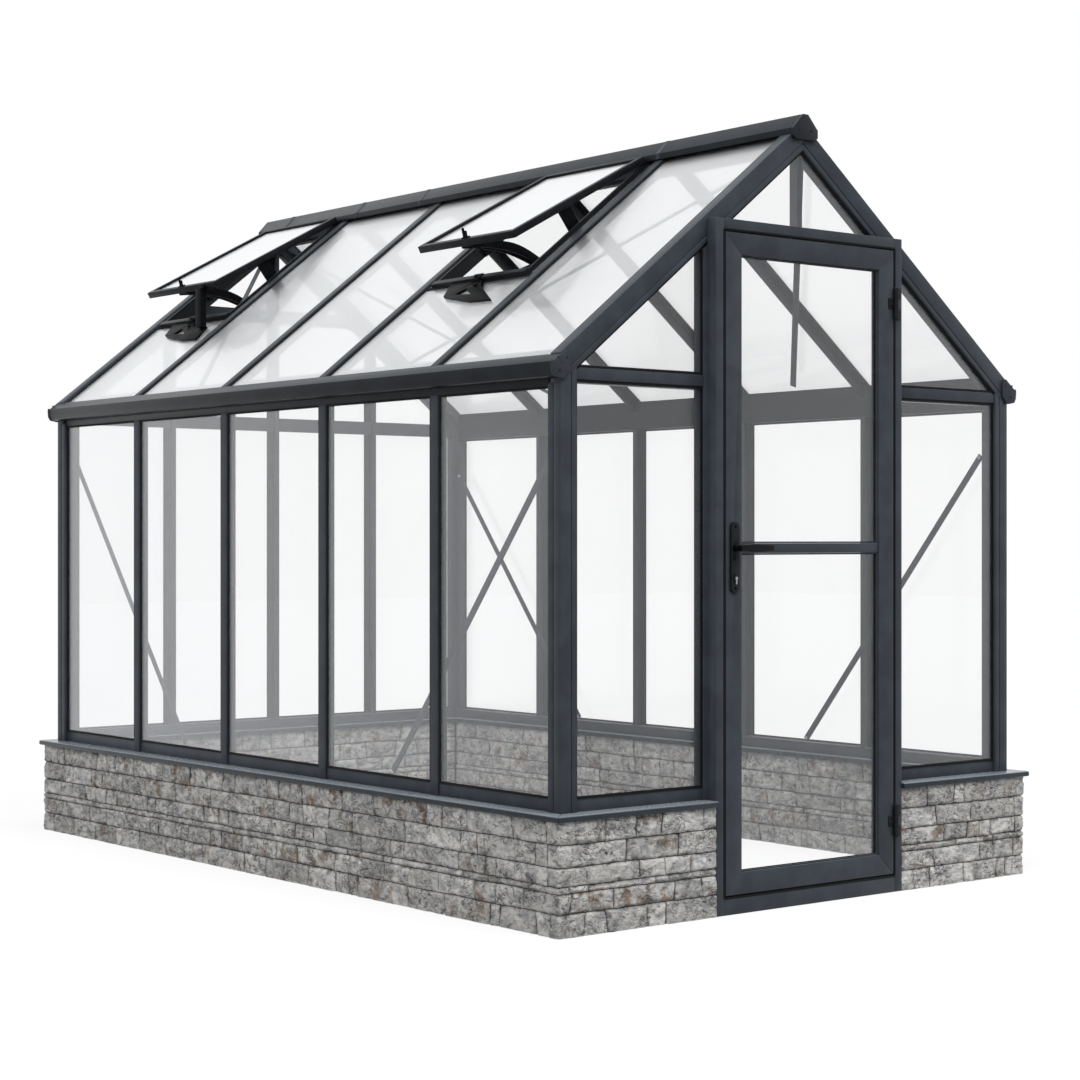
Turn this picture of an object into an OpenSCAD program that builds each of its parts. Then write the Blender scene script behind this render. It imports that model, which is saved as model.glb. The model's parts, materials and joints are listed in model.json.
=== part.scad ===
// Small garden greenhouse: a powder-coated aluminium frame glazed with single
// panes, standing on a low stone wall. The front gable with the door faces -Y,
// X runs across the house, Z is up, and the ground is Z = 0. All sizes are in mm.

/* [House] */
// Number of glazing bays along each side
bays = 5; // [3:1:7]
// Centre-to-centre pitch of the side and roof bars
bay_pitch = 620; // [540:10:700]
// Width across the outer faces of the corner posts
frame_w = 1960; // [1760:10:2300]
// Height of the roof's outer surface at the side walls
eaves_h = 1668; // [1560:4:1900]
// Height of the roof's outer surface at the ridge
ridge_h = 2436; // [2360:4:2560]

/* [Stone wall] */
// Height of the dwarf wall
wall_h = 330; // [200:10:420]
// Thickness of the dwarf wall
wall_t = 110; // [90:5:140]
// How far the stone face stands outside the frame
wall_out = 40; // [30:2:60]
// Thickness of the metal sill on the wall
sill_t = 18; // [10:1:30]
// Overhang of the sill past the stone, inside and outside
sill_over = 13; // [5:1:20]

/* [Frame sections] */
// Width of each face of a corner post
post_w = 60; // [52:1:70]
// Width of the face of a gable rafter
rafter_w = 68; // [56:1:80]
// Depth of the frame from its outer face to its inner face
frame_d = 48; // [40:1:56]
// Width of the outer cap of a glazing bar
bar_cap_w = 40; // [30:1:48]
// Width of the inner flange of a glazing bar
bar_flange_w = 20; // [14:1:26]
// How far bar caps lie behind the face of the posts and rafters
cap_recess = 4; // [2:0.5:6]
// Thickness of the outer cap of a glazing bar
cap_t = 8; // [6:0.5:10]
// Thickness of the webs and thin flanges of the extrusions
web_t = 4; // [3:0.5:5]
// Width of the glazing seat behind each pane
seat_w = 10; // [8:1:14]
// Height of the base rail on the sill
base_rail_h = 38; // [30:1:50]
// Height of the horizontal gable bars
gable_bar_h = 34; // [26:1:44]
// Depth and width of the decorative groove in posts and rafters
groove = 3; // [2:0.5:4]

/* [Glass] */
// Thickness of the glass
glass_t = 4; // [3:0.5:6]
// Clearance round the edges of a pane
pane_gap = 1; // [0.5:0.1:2]

/* [Eaves and ridge] */
// How far the gutter stands out from the frame
gutter_out = 38; // [32:1:50]
// Depth of the gutter trough below the roof surface
gutter_d = 74; // [66:1:95]
// Depth of the eaves beam below the roof surface
eaves_beam_d = 94; // [88:1:110]
// Wall thickness of the gutter and the ridge cap
shell_t = 3; // [2:0.5:4]
// Thickness of the gutter end caps
gutter_cap_t = 8; // [5:1:12]
// Width of the ridge cap
ridge_cap_w = 108; // [90:2:130]
// Width of the flat on top of the ridge cap
ridge_flat_w = 22; // [14:1:34]
// Height of the ridge cap above the roof's outer surface
ridge_cap_rise = 24; // [16:1:32]
// Height of the upright skirts of the ridge cap
ridge_skirt = 20; // [12:1:26]
// Thickness of the ridge end caps
ridge_end_t = 12; // [8:1:20]
// Width of the ridge beam
ridge_beam_w = 40; // [30:2:50]
// Depth of the ridge beam below the roof surface
ridge_beam_d = 90; // [75:1:110]

/* [Door] */
// Outer width of the door frame
door_frame_w = 820; // [760:5:900]
// Outer height of the door frame
door_frame_h = 2100; // [1900:5:2140]
// Width of the jambs and height of the head of the door frame
jamb_w = 33; // [26:1:45]
// Depth of the door frame in front of the gable
jamb_d = 40; // [34:1:50]
// Height of the threshold under the leaf
threshold_h = 52; // [30:1:70]
// Running gap round the door leaf
door_gap = 7; // [7:0.5:9]
// Thickness of the door leaf
leaf_t = 34; // [26:1:34]
// Width of the stiles and rails of the leaf
stile_w = 66; // [50:1:80]
// Height of the middle rail of the leaf
mid_rail_h = 30; // [20:1:44]
// Height of the middle rail's centre above the ground
mid_rail_z = 1106; // [900:2:1300]
// Width of the posts behind the door frame
door_post_w = 45; // [40:1:52]

/* [Door furniture] */
// Width of a handle plate
plate_w = 34; // [28:1:40]
// Height of a handle plate
plate_h = 214; // [180:2:250]
// Thickness of a handle plate
plate_t = 8; // [5:0.5:10]
// Length of a lever from its pivot to its tip
lever_l = 128; // [100:2:150]
// Height of a lever's grip
lever_h = 24; // [14:1:26]
// Stand-off of a lever's grip from its plate
lever_reach = 28; // [22:1:30]
// Radius of the lever spindle
spindle_r = 5; // [4:0.5:7]
// Height of a hinge
hinge_h = 100; // [70:2:130]
// Radius of a hinge knuckle
knuckle_r = 8; // [7:0.5:9]
// Radius of a hinge pin
hinge_pin_r = 3.5; // [2.5:0.5:4.5]
// Distance from the ends of the leaf to the hinges
hinge_inset = 120; // [80:5:250]

/* [Roof vents] */
// Distance along the slope from the ridge to the lower end of a vent
vent_end = 706; // [560:2:800]
// Angle by which the vents stand open
vent_open = 10; // [6:1:16]
// Width of the bars of a vent frame
vent_bar_w = 22; // [16:1:28]
// Depth of the bars of a vent frame
vent_bar_d = 24; // [16:1:28]
// Distance from the middle of a roof bar to the side of a vent
vent_inset = 53; // [42:1:80]
// Width of the rail that closes the roof opening below a vent
vent_rail_w = 22; // [16:1:30]
// Thickness of the sides of the kerb
kerb_t = 10; // [6:1:14]

/* [Vent openers] */
// Width of the stay between a vent and its foot
stay_w = 40; // [20:1:50]
// Thickness of the stay
stay_t = 24; // [10:1:28]
// How far the foot of the stay stands down the slope below the opening
foot_reach = 70; // [60:1:90]
// Length of the flat arms from the jaw to the elbow
arm_l = 212; // [180:1:240]
// Length of the thermal cylinder between the arms
cylinder_l = 150; // [120:1:180]
// Radius of the thermal cylinder
cylinder_r = 11; // [8:0.5:12]
// Thickness of the arms
arm_t = 5; // [3:0.5:6]

/* [Braces] */
// Width of the diagonal braces
brace_w = 22; // [14:1:30]
// Thickness of the diagonal braces
brace_t = 5; // [3:0.5:8]
// Number of bays that a brace spans
brace_bays = 1.45; // [1:0.05:1.8]
// Height of the upper end of the wall braces below the eaves
brace_drop = 250; // [180:5:340]
// Distance along the slope from the frame's edge to the lower end of a roof brace
brace_rise = 110; // [80:5:160]

/* [Hidden] */

$fn = 48;
seat_gap = 0.3;
pin_gap = 0.05;
big = 9000;

// Overall frame
hw = frame_w / 2;
frame_l = bays * bay_pitch;
hl = frame_l / 2;
pitch = atan((ridge_h - eaves_h) / hw);
slope_l = hw / cos(pitch);
wall_hw = hw + wall_out;
wall_hl = hl + wall_out;
sill_top = wall_h + sill_t;
rail_top = sill_top + base_rail_h;

// Layers of the glazing, measured inwards from the frame's outer face
cap_in = cap_recess + cap_t;
seat_in = cap_in + glass_t;

// Eaves: heights of the beam's underside and of the glass pocket above its lip
beam_bottom = eaves_h - eaves_beam_d;
pocket_top = eaves_h - gutter_d;
eaves_bar_z = ridge_h - (hw - post_w) * tan(pitch) - rafter_w / cos(pitch) - gable_bar_h - 1;
roof_edge = hw - cap_recess - pane_gap;

// Door
door_hw = door_frame_w / 2;
jamb_in = door_hw - jamb_w;
door_y = -hl - jamb_d;
leaf_hw = jamb_in - door_gap;
leaf_bottom = threshold_h + door_gap;
leaf_top = door_frame_h - jamb_w - door_gap;
leaf_back = door_y + leaf_t;
door_post_in = door_hw - door_post_w;
header_z = door_frame_h - gable_bar_h;
back_bar_z = 2042;
lock_x = -leaf_hw + stile_w / 2;
lever_z = mid_rail_z;
plate_z = mid_rail_z - plate_h * 0.13;
key_z = mid_rail_z - plate_h * 0.42;
key_boss_w = 16;
key_boss_h = 30;
key_boss_t = 3;
snib_r = 8;
snib_t = 9;
snib_drop = 29;
rose_r = 11.5;
rose_t = 10;
neck_r = 9;
grip_t = 12;
hinge_leaf_w = 24;
hinge_leaf_t = 4;
hinge_x = leaf_hw + door_gap / 2;
hinge_y = door_y - knuckle_r - 1;
hinge_zs = [leaf_bottom + hinge_inset, leaf_top - hinge_inset - hinge_h];

// Roof vents: bays counted from the back, hinge line just below the ridge cap
vent_bays = [1, bays - 1];
vent_start = (ridge_cap_w / 2 + 2) / cos(pitch) + 3;
vent_hw = bay_pitch / 2 - vent_inset;
vent_l = vent_end - vent_start;
vent_low = seat_gap;
vent_top = vent_low + vent_bar_d;
kerb_hw = vent_hw - 5;
kerb_d = frame_d - 1;
rail_low = -seat_in - 18;
rail_hw = bay_pitch / 2 - web_t / 2 - seat_w - seat_gap;
hinge_rail_s = (ridge_beam_w / 2 + seat_gap - rail_low * sin(pitch)) / cos(pitch);
rail_end = vent_end + vent_rail_w;
rail_proud = 5;
// A vent in the bay next to a gable lies in the middle between the rafter and the bar
gable_shift = (frame_d - web_t / 2) / 2;
function vent_y(n) = hl - (n - 0.5) * bay_pitch - (n == 1 ? gable_shift : 0) + (n == bays ? gable_shift : 0);
// Point fixed to a vent, swung open with it: along the slope and above it
function swung(s, h) = [
    vent_start + (s - vent_start) * cos(vent_open) - h * sin(vent_open),
    (s - vent_start) * sin(vent_open) + h * cos(vent_open)
];

// Vent openers: pins as (along the slope, above it), and the arms' places across the bay
arm_end_r = 9;
arm_mid_r = 15;
arm_bow = -22;
arm_pin_r = 4.5;
rod_r = 4;
jaw_t = 5;
jaw_hw = 32;
inner_arm_y = cylinder_r + 4;
outer_arm_y = inner_arm_y + arm_t + 1;
cheek_y = outer_arm_y + arm_t + 1;
pin_drop = 16;
jaw_pin = [vent_end - 24, rail_low - pin_drop];
elbow = jaw_pin - [arm_l * cos(15.5), arm_l * sin(15.5)];
cheek_pin = [vent_end - 44, vent_low - pin_drop];
vent_pin = swung(cheek_pin[0], cheek_pin[1]);
foot_s = rail_end + foot_reach;
foot_low = -cap_in + 2;
foot_top = foot_low + 9;
stay_y = -165;
// Foot frame in plan: down the slope from the opening and across the bay
foot_plan = [[seat_gap, 142], [seat_gap, -30], [47, -70], [143, -219], [136, -97], [85, 95]];
foot_window_plan = [[50, 9], [82, 34], [94, -66]];
stay_pad_plan = [[47, -70], [foot_reach - 14, stay_y - stay_w / 2], [143, -219], [110, -110]];
side_stay_s = [430, 482];
side_stay_t = 6;

// Sill
sill_w = wall_t + 2 * sill_over;
glass_colour = [0.85, 0.92, 0.94, 0.35];

// Height of the plane at a given normal depth under the roof's outer surface
function roof_z(x, depth) = ridge_h - abs(x) * tan(pitch) - depth / cos(pitch);
function bar_y(k) = -hl + k * bay_pitch;
function reversed(points) = [for (i = [len(points) - 1 : -1 : 0]) points[i]];
function flipped(points) = [for (p = points) [-p[0], p[1]]];
function mirrored(points) = reversed(flipped(points));

// ---------- helpers ----------

module along_x(x0, x1) translate([x0, 0, 0]) rotate([90, 0, 90]) linear_extrude(x1 - x0) children();
module along_y(y0, y1) translate([0, y1, 0]) rotate([90, 0, 0]) linear_extrude(y1 - y0) children();
module along_z(z0, z1) translate([0, 0, z0]) linear_extrude(z1 - z0) children();

module box(low, high) translate(low) cube(high - low);

module both_sides() {
    children();
    mirror([1, 0, 0]) children();
}

module both_ends() {
    children();
    mirror([0, 1, 0]) children();
}

// What lies between the seats of the two pairs of rafters
module inside_gables() intersection() {
    children();
    box([-big, -hl + frame_d + seat_w + seat_gap, 0], [big, hl - frame_d - seat_w - seat_gap, big]);
}

// Frame of the right-hand slope: X runs down the slope from the ridge line, Z stands on it
module on_slope() translate([0, 0, ridge_h]) rotate([0, pitch, 0]) children();

// Everything above the right-hand roof plane at a normal depth
module above_roof(depth) on_slope() box([-big, -big, -depth], [big, big, big]);

module keep_x(x0, x1) intersection() {
    children();
    box([x0, -big, -big], [x1, big, big]);
}

// ---------- sections ----------

// Angle-shaped edge member, (a) inwards behind its first face and (b) behind its second
function edge_points(face_a, face_b, groove_at) = [
    [0, 0], [groove_at, 0], [groove_at, groove], [groove_at + groove, groove], [groove_at + groove, 0],
    [face_a, 0], [face_a, frame_d], [frame_d, frame_d], [frame_d, face_b], [0, face_b]
];
// The same member with a groove in its second face as well
function side_grooved(points, at) = concat(points,
    [[0, at + groove], [groove, at + groove], [groove, at], [0, at]]);
// Glazing seat along the inner edge of one face
function seat_points(face) = [
    [face, seat_in], [face + seat_w, seat_in], [face + seat_w, frame_d], [face, frame_d]
];
function swapped(points) = [for (p = points) [p[1], p[0]]];

// Glazing bar: outer cap, glass slot, seat flange, web and inner flange
function bar_half() = [
    [0, -cap_recess], [bar_cap_w / 2 - 4, -cap_recess], [bar_cap_w / 2, -cap_recess - 3],
    [bar_cap_w / 2, -cap_in], [web_t / 2, -cap_in], [web_t / 2, -seat_in],
    [web_t / 2 + seat_w, -seat_in], [web_t / 2 + seat_w, -seat_in - web_t],
    [web_t / 2, -seat_in - web_t], [web_t / 2, -frame_d + web_t],
    [bar_flange_w / 2, -frame_d + web_t], [bar_flange_w / 2, -frame_d]
];
module bar_section() polygon(concat(bar_half(), mirrored(bar_half())));

module cap_section() polygon([
    [-bar_cap_w / 2, -cap_in], [-bar_cap_w / 2, -cap_recess - 3], [-bar_cap_w / 2 + 4, -cap_recess],
    [bar_cap_w / 2 - 4, -cap_recess], [bar_cap_w / 2, -cap_recess - 3], [bar_cap_w / 2, -cap_in]
]);

// Eaves extrusion in (outwards from the frame face, above the eaves)
function strip_v(u) = -cap_recess / cos(pitch) - u * tan(pitch);
function seat_v(u) = -(seat_in + seat_gap) / cos(pitch) - u * tan(pitch);

// Beam that carries the roof bars, with a pocket for the tops of the side panes
module eaves_beam_section() polygon([
    [0, strip_v(0)], [0, -gutter_d], [-cap_recess, -gutter_d], [-cap_recess, -eaves_beam_d],
    [-cap_in, -eaves_beam_d], [-cap_in, -gutter_d], [-seat_in, -gutter_d], [-seat_in, -eaves_beam_d],
    [-frame_d, -eaves_beam_d], [-frame_d, seat_v(-frame_d)], [-cap_recess, seat_v(-cap_recess)],
    [-cap_recess, strip_v(-cap_recess)]
]);

// Gutter: drip strip in line with the roof, open slot, moulded front and trough
module gutter_section() {
    strip_u = gutter_out - 8;
    rim_v = strip_v(strip_u) + 2;
    polygon([
        [0, strip_v(0)], [strip_u, strip_v(strip_u)], [strip_u, strip_v(strip_u) - shell_t],
        [shell_t, strip_v(shell_t) - shell_t - 1], [shell_t, -gutter_d + shell_t + 1],
        [gutter_out - 11, -gutter_d + 9], [gutter_out - shell_t - 1, -gutter_d + 20],
        [gutter_out - shell_t - 1, rim_v], [gutter_out - 1, rim_v],
        [gutter_out, -gutter_d + 42], [gutter_out - 1, -gutter_d + 19], [gutter_out - 9, -gutter_d + 5],
        [0, -gutter_d]
    ]);
}

// ---------- stone wall and sill ----------

module wall_left() color("#9c9893")
    box([-wall_hw, -wall_hl, 0], [-wall_hw + wall_t, wall_hl, wall_h]);

module wall_right() color("#9c9893")
    box([wall_hw - wall_t, -wall_hl, 0], [wall_hw, wall_hl, wall_h]);

module wall_back() color("#9c9893")
    box([-wall_hw + wall_t, wall_hl - wall_t, 0], [wall_hw - wall_t, wall_hl, wall_h]);

module wall_front_left() color("#9c9893")
    box([-wall_hw + wall_t, -wall_hl, 0], [-door_hw, -wall_hl + wall_t, wall_h]);

module wall_front_right() color("#9c9893")
    box([door_hw, -wall_hl, 0], [wall_hw - wall_t, -wall_hl + wall_t, wall_h]);

// Sill in (inwards from the nose, height): the nose is rounded off by two chamfers
module sill_section(width) polygon([
    [0, 3], [0, sill_t - 4], [1.5, sill_t - 1], [5, sill_t], [width, sill_t], [width, 0], [3, 0]
]);

module sill_side() difference() {
    translate([wall_hw + sill_over, 0, wall_h]) mirror([1, 0, 0])
        along_y(-wall_hl - sill_over, wall_hl + sill_over) sill_section(sill_w);
    both_ends() translate([wall_hw + sill_over, -wall_hl - sill_over, wall_h - 1]) rotate([0, 0, 135])
        box([-big, -seat_gap / 2, 0], [big, big, sill_t + 2]);
}

module sill_end() difference() {
    translate([0, wall_hl + sill_over, wall_h]) rotate([0, 0, 180])
        along_x(-wall_hw - sill_over, wall_hw + sill_over) sill_section(sill_w);
    both_sides() translate([wall_hw + sill_over, wall_hl + sill_over, wall_h - 1]) rotate([0, 0, 45])
        box([-big, -big, 0], [big, seat_gap / 2, sill_t + 2]);
}

module sill_left() color("#47525b") mirror([1, 0, 0]) sill_side();
module sill_right() color("#47525b") sill_side();
module sill_back() color("#47525b") sill_end();
module sill_front() color("#47525b") difference() {
    mirror([0, 1, 0]) sill_end();
    box([-door_hw, -big, 0], [door_hw, big, big]);
}

// ---------- frame ----------

// Post of the back right corner, cut off under the rafter
module corner_post() difference() {
    union() {
        post = side_grooved(edge_points(post_w, post_w, post_w * 0.63), post_w * 0.55);
        along_z(sill_top, ridge_h) polygon([for (p = post) [hw - p[0], hl - p[1]]]);
        along_z(rail_top, ridge_h) polygon([for (p = seat_points(post_w)) [hw - p[0], hl - p[1]]]);
        seat = swapped(seat_points(post_w));
        along_z(rail_top, beam_bottom) polygon([for (p = seat) [hw - p[0], hl - p[1]]]);
    }
    above_roof(rafter_w);
}

// Right rafter of the back gable: its lower seat stops at the post, its upper one at the eaves beam
module rafter() {
    keep_x(seat_gap / 2, hw) on_slope() along_x(-rafter_w, slope_l + rafter_w)
        polygon([for (p = edge_points(rafter_w, frame_d, rafter_w * 0.74)) [hl - p[1], -p[0]]]);
    keep_x(seat_gap / 2, hw - post_w - seat_w) on_slope() along_x(-rafter_w * 2, slope_l)
        polygon([for (p = seat_points(rafter_w)) [hl - p[1], -p[0]]]);
    keep_x(seat_gap / 2, hw - frame_d) on_slope() along_x(-rafter_w, slope_l)
        polygon([for (p = swapped(seat_points(frame_d))) [hl - p[1], -p[0]]]);
}

module corner_posts() color("#3d444b") both_sides() both_ends() corner_post();
module front_rafters() color("#3d444b") both_sides() mirror([0, 1, 0]) rafter();
module back_rafters() color("#3d444b") both_sides() rafter();

module base_rails() color("#3d444b") {
    both_sides() box([hw - frame_d, -hl + post_w, sill_top], [hw - cap_in, hl - post_w, rail_top]);
    box([-hw + post_w, hl - frame_d, sill_top], [hw - post_w, hl - cap_in, rail_top]);
    both_sides() box([door_hw + seat_w, -hl + cap_in, sill_top], [hw - post_w, -hl + frame_d, rail_top]);
}

module side_bars() color("#3d444b") both_sides()
    for (k = [1 : bays - 1]) translate([hw, bar_y(k), 0]) rotate([0, 0, -90]) {
        along_z(rail_top, beam_bottom) bar_section();
        along_z(sill_top, rail_top) cap_section();
    }

module gutters() color("#3d444b") both_sides() translate([hw, 0, eaves_h]) {
    along_y(-hl, hl) gutter_section();
    along_y(-hl + post_w, hl - post_w) eaves_beam_section();
}

module gutter_end_caps() color("#33393f") both_sides() both_ends()
    translate([hw, 0, eaves_h]) along_y(hl + seat_gap, hl + seat_gap + gutter_cap_t) polygon([
        [-14, 8], [gutter_out - 8, strip_v(gutter_out - 8) + 3], [gutter_out, strip_v(gutter_out - 8) + 4],
        [gutter_out + 2, -gutter_d + 40], [gutter_out, -gutter_d + 17], [gutter_out - 8, -gutter_d + 3],
        [2, -gutter_d - 2], [-8, -gutter_d - 2], [-30, -gutter_d + 24], [-30, -8]
    ]);

module ridge_beam() color("#3d444b") along_y(-hl + frame_d + seat_w, hl - frame_d - seat_w) polygon([
    [-ridge_beam_w / 2, ridge_h - ridge_beam_d],
    [ridge_beam_w / 2, ridge_h - ridge_beam_d],
    [ridge_beam_w / 2, roof_z(ridge_beam_w / 2, seat_in + seat_gap)],
    [0, roof_z(0, seat_in + seat_gap)],
    [-ridge_beam_w / 2, roof_z(ridge_beam_w / 2, seat_in + seat_gap)]
]);

// Right half of the ridge cap's outline, shrunk by a wall thickness
function cap_half(t) = [
    [ridge_cap_w / 2 - t, roof_z(ridge_cap_w / 2 - t, 0) + seat_gap],
    [ridge_cap_w / 2 - t, roof_z(ridge_cap_w / 2, 0) + ridge_skirt - t / 2],
    [ridge_flat_w / 2 - t / 2, ridge_h + ridge_cap_rise - t]
];

module ridge_cap() color("#454c53") {
    along_y(-hl, hl) polygon(concat(cap_half(0), mirrored(cap_half(0)),
        flipped(cap_half(shell_t)), reversed(cap_half(shell_t))));
    edge_z = roof_z(ridge_cap_w / 2, 0);
    end_half = [
        [ridge_cap_w / 2 - 12, edge_z - 14], [ridge_cap_w / 2, edge_z - 4], cap_half(0)[1], cap_half(0)[2]
    ];
    both_ends() along_y(hl + seat_gap, hl + seat_gap + ridge_end_t)
        polygon(concat(end_half, mirrored(end_half)));
}

// Roof bar: the cap runs on over the ridge beam and the eaves beam, the rest fits between them
module roof_bar() {
    keep_x(ridge_beam_w / 2, hw - frame_d) on_slope() along_x(0, slope_l) bar_section();
    keep_x(cap_recess, roof_edge) on_slope() along_x(0, slope_l) cap_section();
}

module roof_bars() color("#3d444b") both_sides()
    for (k = [1 : bays - 1]) translate([0, bar_y(k), 0]) roof_bar();

// ---------- gables ----------

module below_rafters(depth) difference() {
    children();
    both_sides() above_roof(depth);
}

// Level gable bar on the front plane: its face reaches the posts, its seats stop at theirs
module gable_bar(x0, x1, inset0, inset1, up, down) {
    box([x0, -hl + cap_recess, 0], [x1, -hl + seat_in, gable_bar_h]);
    translate([0, -hl, 0]) along_x(x0 + inset0, x1 - inset1) polygon([
        [seat_in, -down], [seat_in, gable_bar_h + up], [frame_d, gable_bar_h + up], [frame_d, -down]
    ]);
}

module front_gable_bars() color("#3d444b") {
    both_sides() below_rafters(rafter_w + seat_w) translate([0, 0, eaves_bar_z])
        gable_bar(door_hw + seat_w, hw - post_w, 0, seat_w, seat_w, seat_w);
    below_rafters(rafter_w + seat_w) {
        translate([0, 0, header_z])
            gable_bar(-door_post_in + seat_gap, door_post_in - seat_gap, 0, 0, seat_w, 0);
        box([-12, -hl + seat_in, header_z + gable_bar_h], [12, -hl + frame_d, ridge_h]);
    }
}

// Right-hand post beside the doorway: it stands on the ground between the stone ends,
// with a glazing seat above the sill
module door_post() difference() {
    union() {
        box([door_post_in, -hl, 0], [door_hw, -hl + frame_d, ridge_h]);
        box([door_hw, -hl + cap_recess, sill_top], [door_hw + seat_w, -hl + frame_d, ridge_h]);
    }
    above_roof(rafter_w + seat_w);
}

module door_posts() color("#3d444b") both_sides() door_post();

module back_posts() color("#3d444b") below_rafters(rafter_w + seat_w)
    for (i = [-1 : 1]) translate([i * hw / 2, hl, 0]) {
        along_z(rail_top, ridge_h) bar_section();
        along_z(sill_top, rail_top) cap_section();
    }

// Level bars of the back gable, between its posts
module back_gable_bars() color("#3d444b") below_rafters(rafter_w + seat_w + seat_gap) both_sides() {
    fit = web_t / 2 + seat_w + seat_gap;
    back_bar(fit, hw / 2 - fit, eaves_bar_z);
    back_bar(hw / 2 + fit, hw - post_w - seat_w, eaves_bar_z);
    back_bar(fit, hw / 2 - fit, back_bar_z);
}

module back_bar(x0, x1, z) mirror([0, 1, 0]) translate([0, -hl, z]) along_x(x0, x1) polygon([
    [cap_in + seat_gap, 0], [cap_in + seat_gap, gable_bar_h], [seat_in, gable_bar_h],
    [seat_in, gable_bar_h + seat_w], [frame_d - web_t - seat_gap, gable_bar_h + seat_w],
    [frame_d - web_t - seat_gap, -seat_w], [seat_in, -seat_w], [seat_in, 0]
]);

// ---------- door frame ----------

module door_jambs() color("#3d444b") both_sides()
    box([jamb_in, door_y, 0], [door_hw, -hl - seat_gap, door_frame_h]);

module door_head() color("#3d444b")
    box([-jamb_in, door_y, door_frame_h - jamb_w], [jamb_in, -hl - seat_gap, door_frame_h]);

// Threshold bar with its front edge eased
module door_threshold() color("#3d444b") along_x(-jamb_in, jamb_in) polygon([
    [door_y, 0], [door_y, threshold_h - 6], [door_y + 6, threshold_h], [-hl - seat_gap, threshold_h],
    [-hl - seat_gap, 0]
]);

// ---------- braces ----------

// Flat diagonal in the XY plane from one point to another
module brace(from, to) translate(from) rotate([0, 0, atan2(to[1] - from[1], to[0] - from[0])])
    box([0, -brace_w / 2, 0], [norm(to - from), brace_w / 2, brace_t]);

module wall_brace() translate([hw - frame_d - seat_gap, 0, 0]) rotate([90, 0, -90])
    brace([hl - frame_d - brace_w, eaves_h - brace_drop],
        [hl - brace_bays * bay_pitch, rail_top + brace_w / 2]);

module wall_braces() color("#6a7076") both_sides() both_ends() mirror([0, 1, 0]) wall_brace();

module roof_brace() on_slope() translate([0, 0, -frame_d - seat_gap - brace_t])
    brace([vent_start + 40, hl - frame_d - brace_w], [slope_l - brace_rise, hl - brace_bays * bay_pitch]);

module roof_braces() color("#6a7076") both_sides() both_ends() roof_brace();

// ---------- glass ----------

module side_glass() for (k = [0 : bays - 1]) {
    y0 = k == 0 ? -hl + post_w + pane_gap : bar_y(k) + web_t / 2 + pane_gap;
    y1 = k == bays - 1 ? hl - post_w - pane_gap : bar_y(k + 1) - web_t / 2 - pane_gap;
    box([hw - seat_in, y0, rail_top], [hw - cap_in, y1, pocket_top - pane_gap]);
}
module glass_left() color(glass_colour) mirror([1, 0, 0]) side_glass();
module glass_right() color(glass_colour) side_glass();

// Roof panes of one slope; a vented bay is glazed below the vent rail and in strips beside the kerb
module roof_glass(vented) for (k = [0 : bays - 1]) {
    is_vent = vented && (k == bays - vent_bays[0] || k == bays - vent_bays[1]);
    y0 = k == 0 ? -hl + frame_d + pane_gap : bar_y(k) + web_t / 2 + pane_gap;
    y1 = k == bays - 1 ? hl - frame_d - pane_gap : bar_y(k + 1) - web_t / 2 - pane_gap;
    vent_foot = vent_end + vent_rail_w + pane_gap;
    if (is_vent) {
        middle = vent_y(bays - k);
        roof_pane(vent_foot, y0, y1);
        roof_strip(vent_foot - 2 * pane_gap, y0, middle - kerb_hw - pane_gap);
        roof_strip(vent_foot - 2 * pane_gap, middle + kerb_hw + pane_gap, y1);
    } else {
        roof_pane(0, y0, y1);
    }
}
module roof_pane(s0, y0, y1) keep_x(ridge_beam_w / 4, roof_edge) on_slope()
    box([s0, y0, -seat_in], [slope_l, y1, -cap_in]);
module roof_strip(s1, y0, y1) keep_x(ridge_beam_w / 4, roof_edge) on_slope()
    box([0, y0, -seat_in], [s1, y1, -cap_in]);
module roof_glass_left() color(glass_colour) mirror([1, 0, 0]) roof_glass(true);
module roof_glass_right() color(glass_colour) roof_glass(false);

// Gable pane between two heights and two sides, cut off under the rafters
module gable_pane(y0, x0, x1, z0, z1) difference() {
    box([x0, y0, z0], [x1, y0 + glass_t, z1]);
    both_sides() above_roof(rafter_w + pane_gap);
}

module front_glass() color(glass_colour) {
    upper_z = eaves_bar_z + gable_bar_h + pane_gap;
    y0 = -hl + cap_in;
    both_sides() {
        gable_pane(y0, door_hw + seat_w + pane_gap, hw - post_w - pane_gap, rail_top, eaves_bar_z - pane_gap);
        gable_pane(y0, door_hw + seat_w + pane_gap, hw - post_w - pane_gap, upper_z, ridge_h);
    }
    gable_pane(y0, -hw, hw, header_z + gable_bar_h + pane_gap, ridge_h);
}

module back_glass() color(glass_colour) {
    y0 = hl - seat_in;
    clear = web_t / 2 + pane_gap;
    edges = [-hw + post_w, -hw / 2, 0, hw / 2, hw - post_w];
    levels = [
        [rail_top, eaves_bar_z - pane_gap],
        [eaves_bar_z + gable_bar_h + pane_gap, back_bar_z - pane_gap],
        [back_bar_z + gable_bar_h + pane_gap, ridge_h]
    ];
    for (level = levels) for (i = [0 : 3])
        gable_pane(y0, edges[i] + clear, edges[i + 1] - clear, level[0], level[1]);
}

// ---------- roof vents ----------

// Place on the left slope at each vented bay, in slope coordinates
module at_vents(which = vent_bays) mirror([1, 0, 0]) for (n = which)
    translate([0, vent_y(n), 0]) on_slope() children();

// Place on the left slope in the middle between the bars of each vented bay
module at_vented_bays() mirror([1, 0, 0]) for (n = vent_bays)
    translate([0, hl - (n - 0.5) * bay_pitch, 0]) on_slope() children();

module vent_swing() translate([vent_start, 0, 0]) rotate([0, -vent_open, 0]) translate([-vent_start, 0, 0])
    children();

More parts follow.
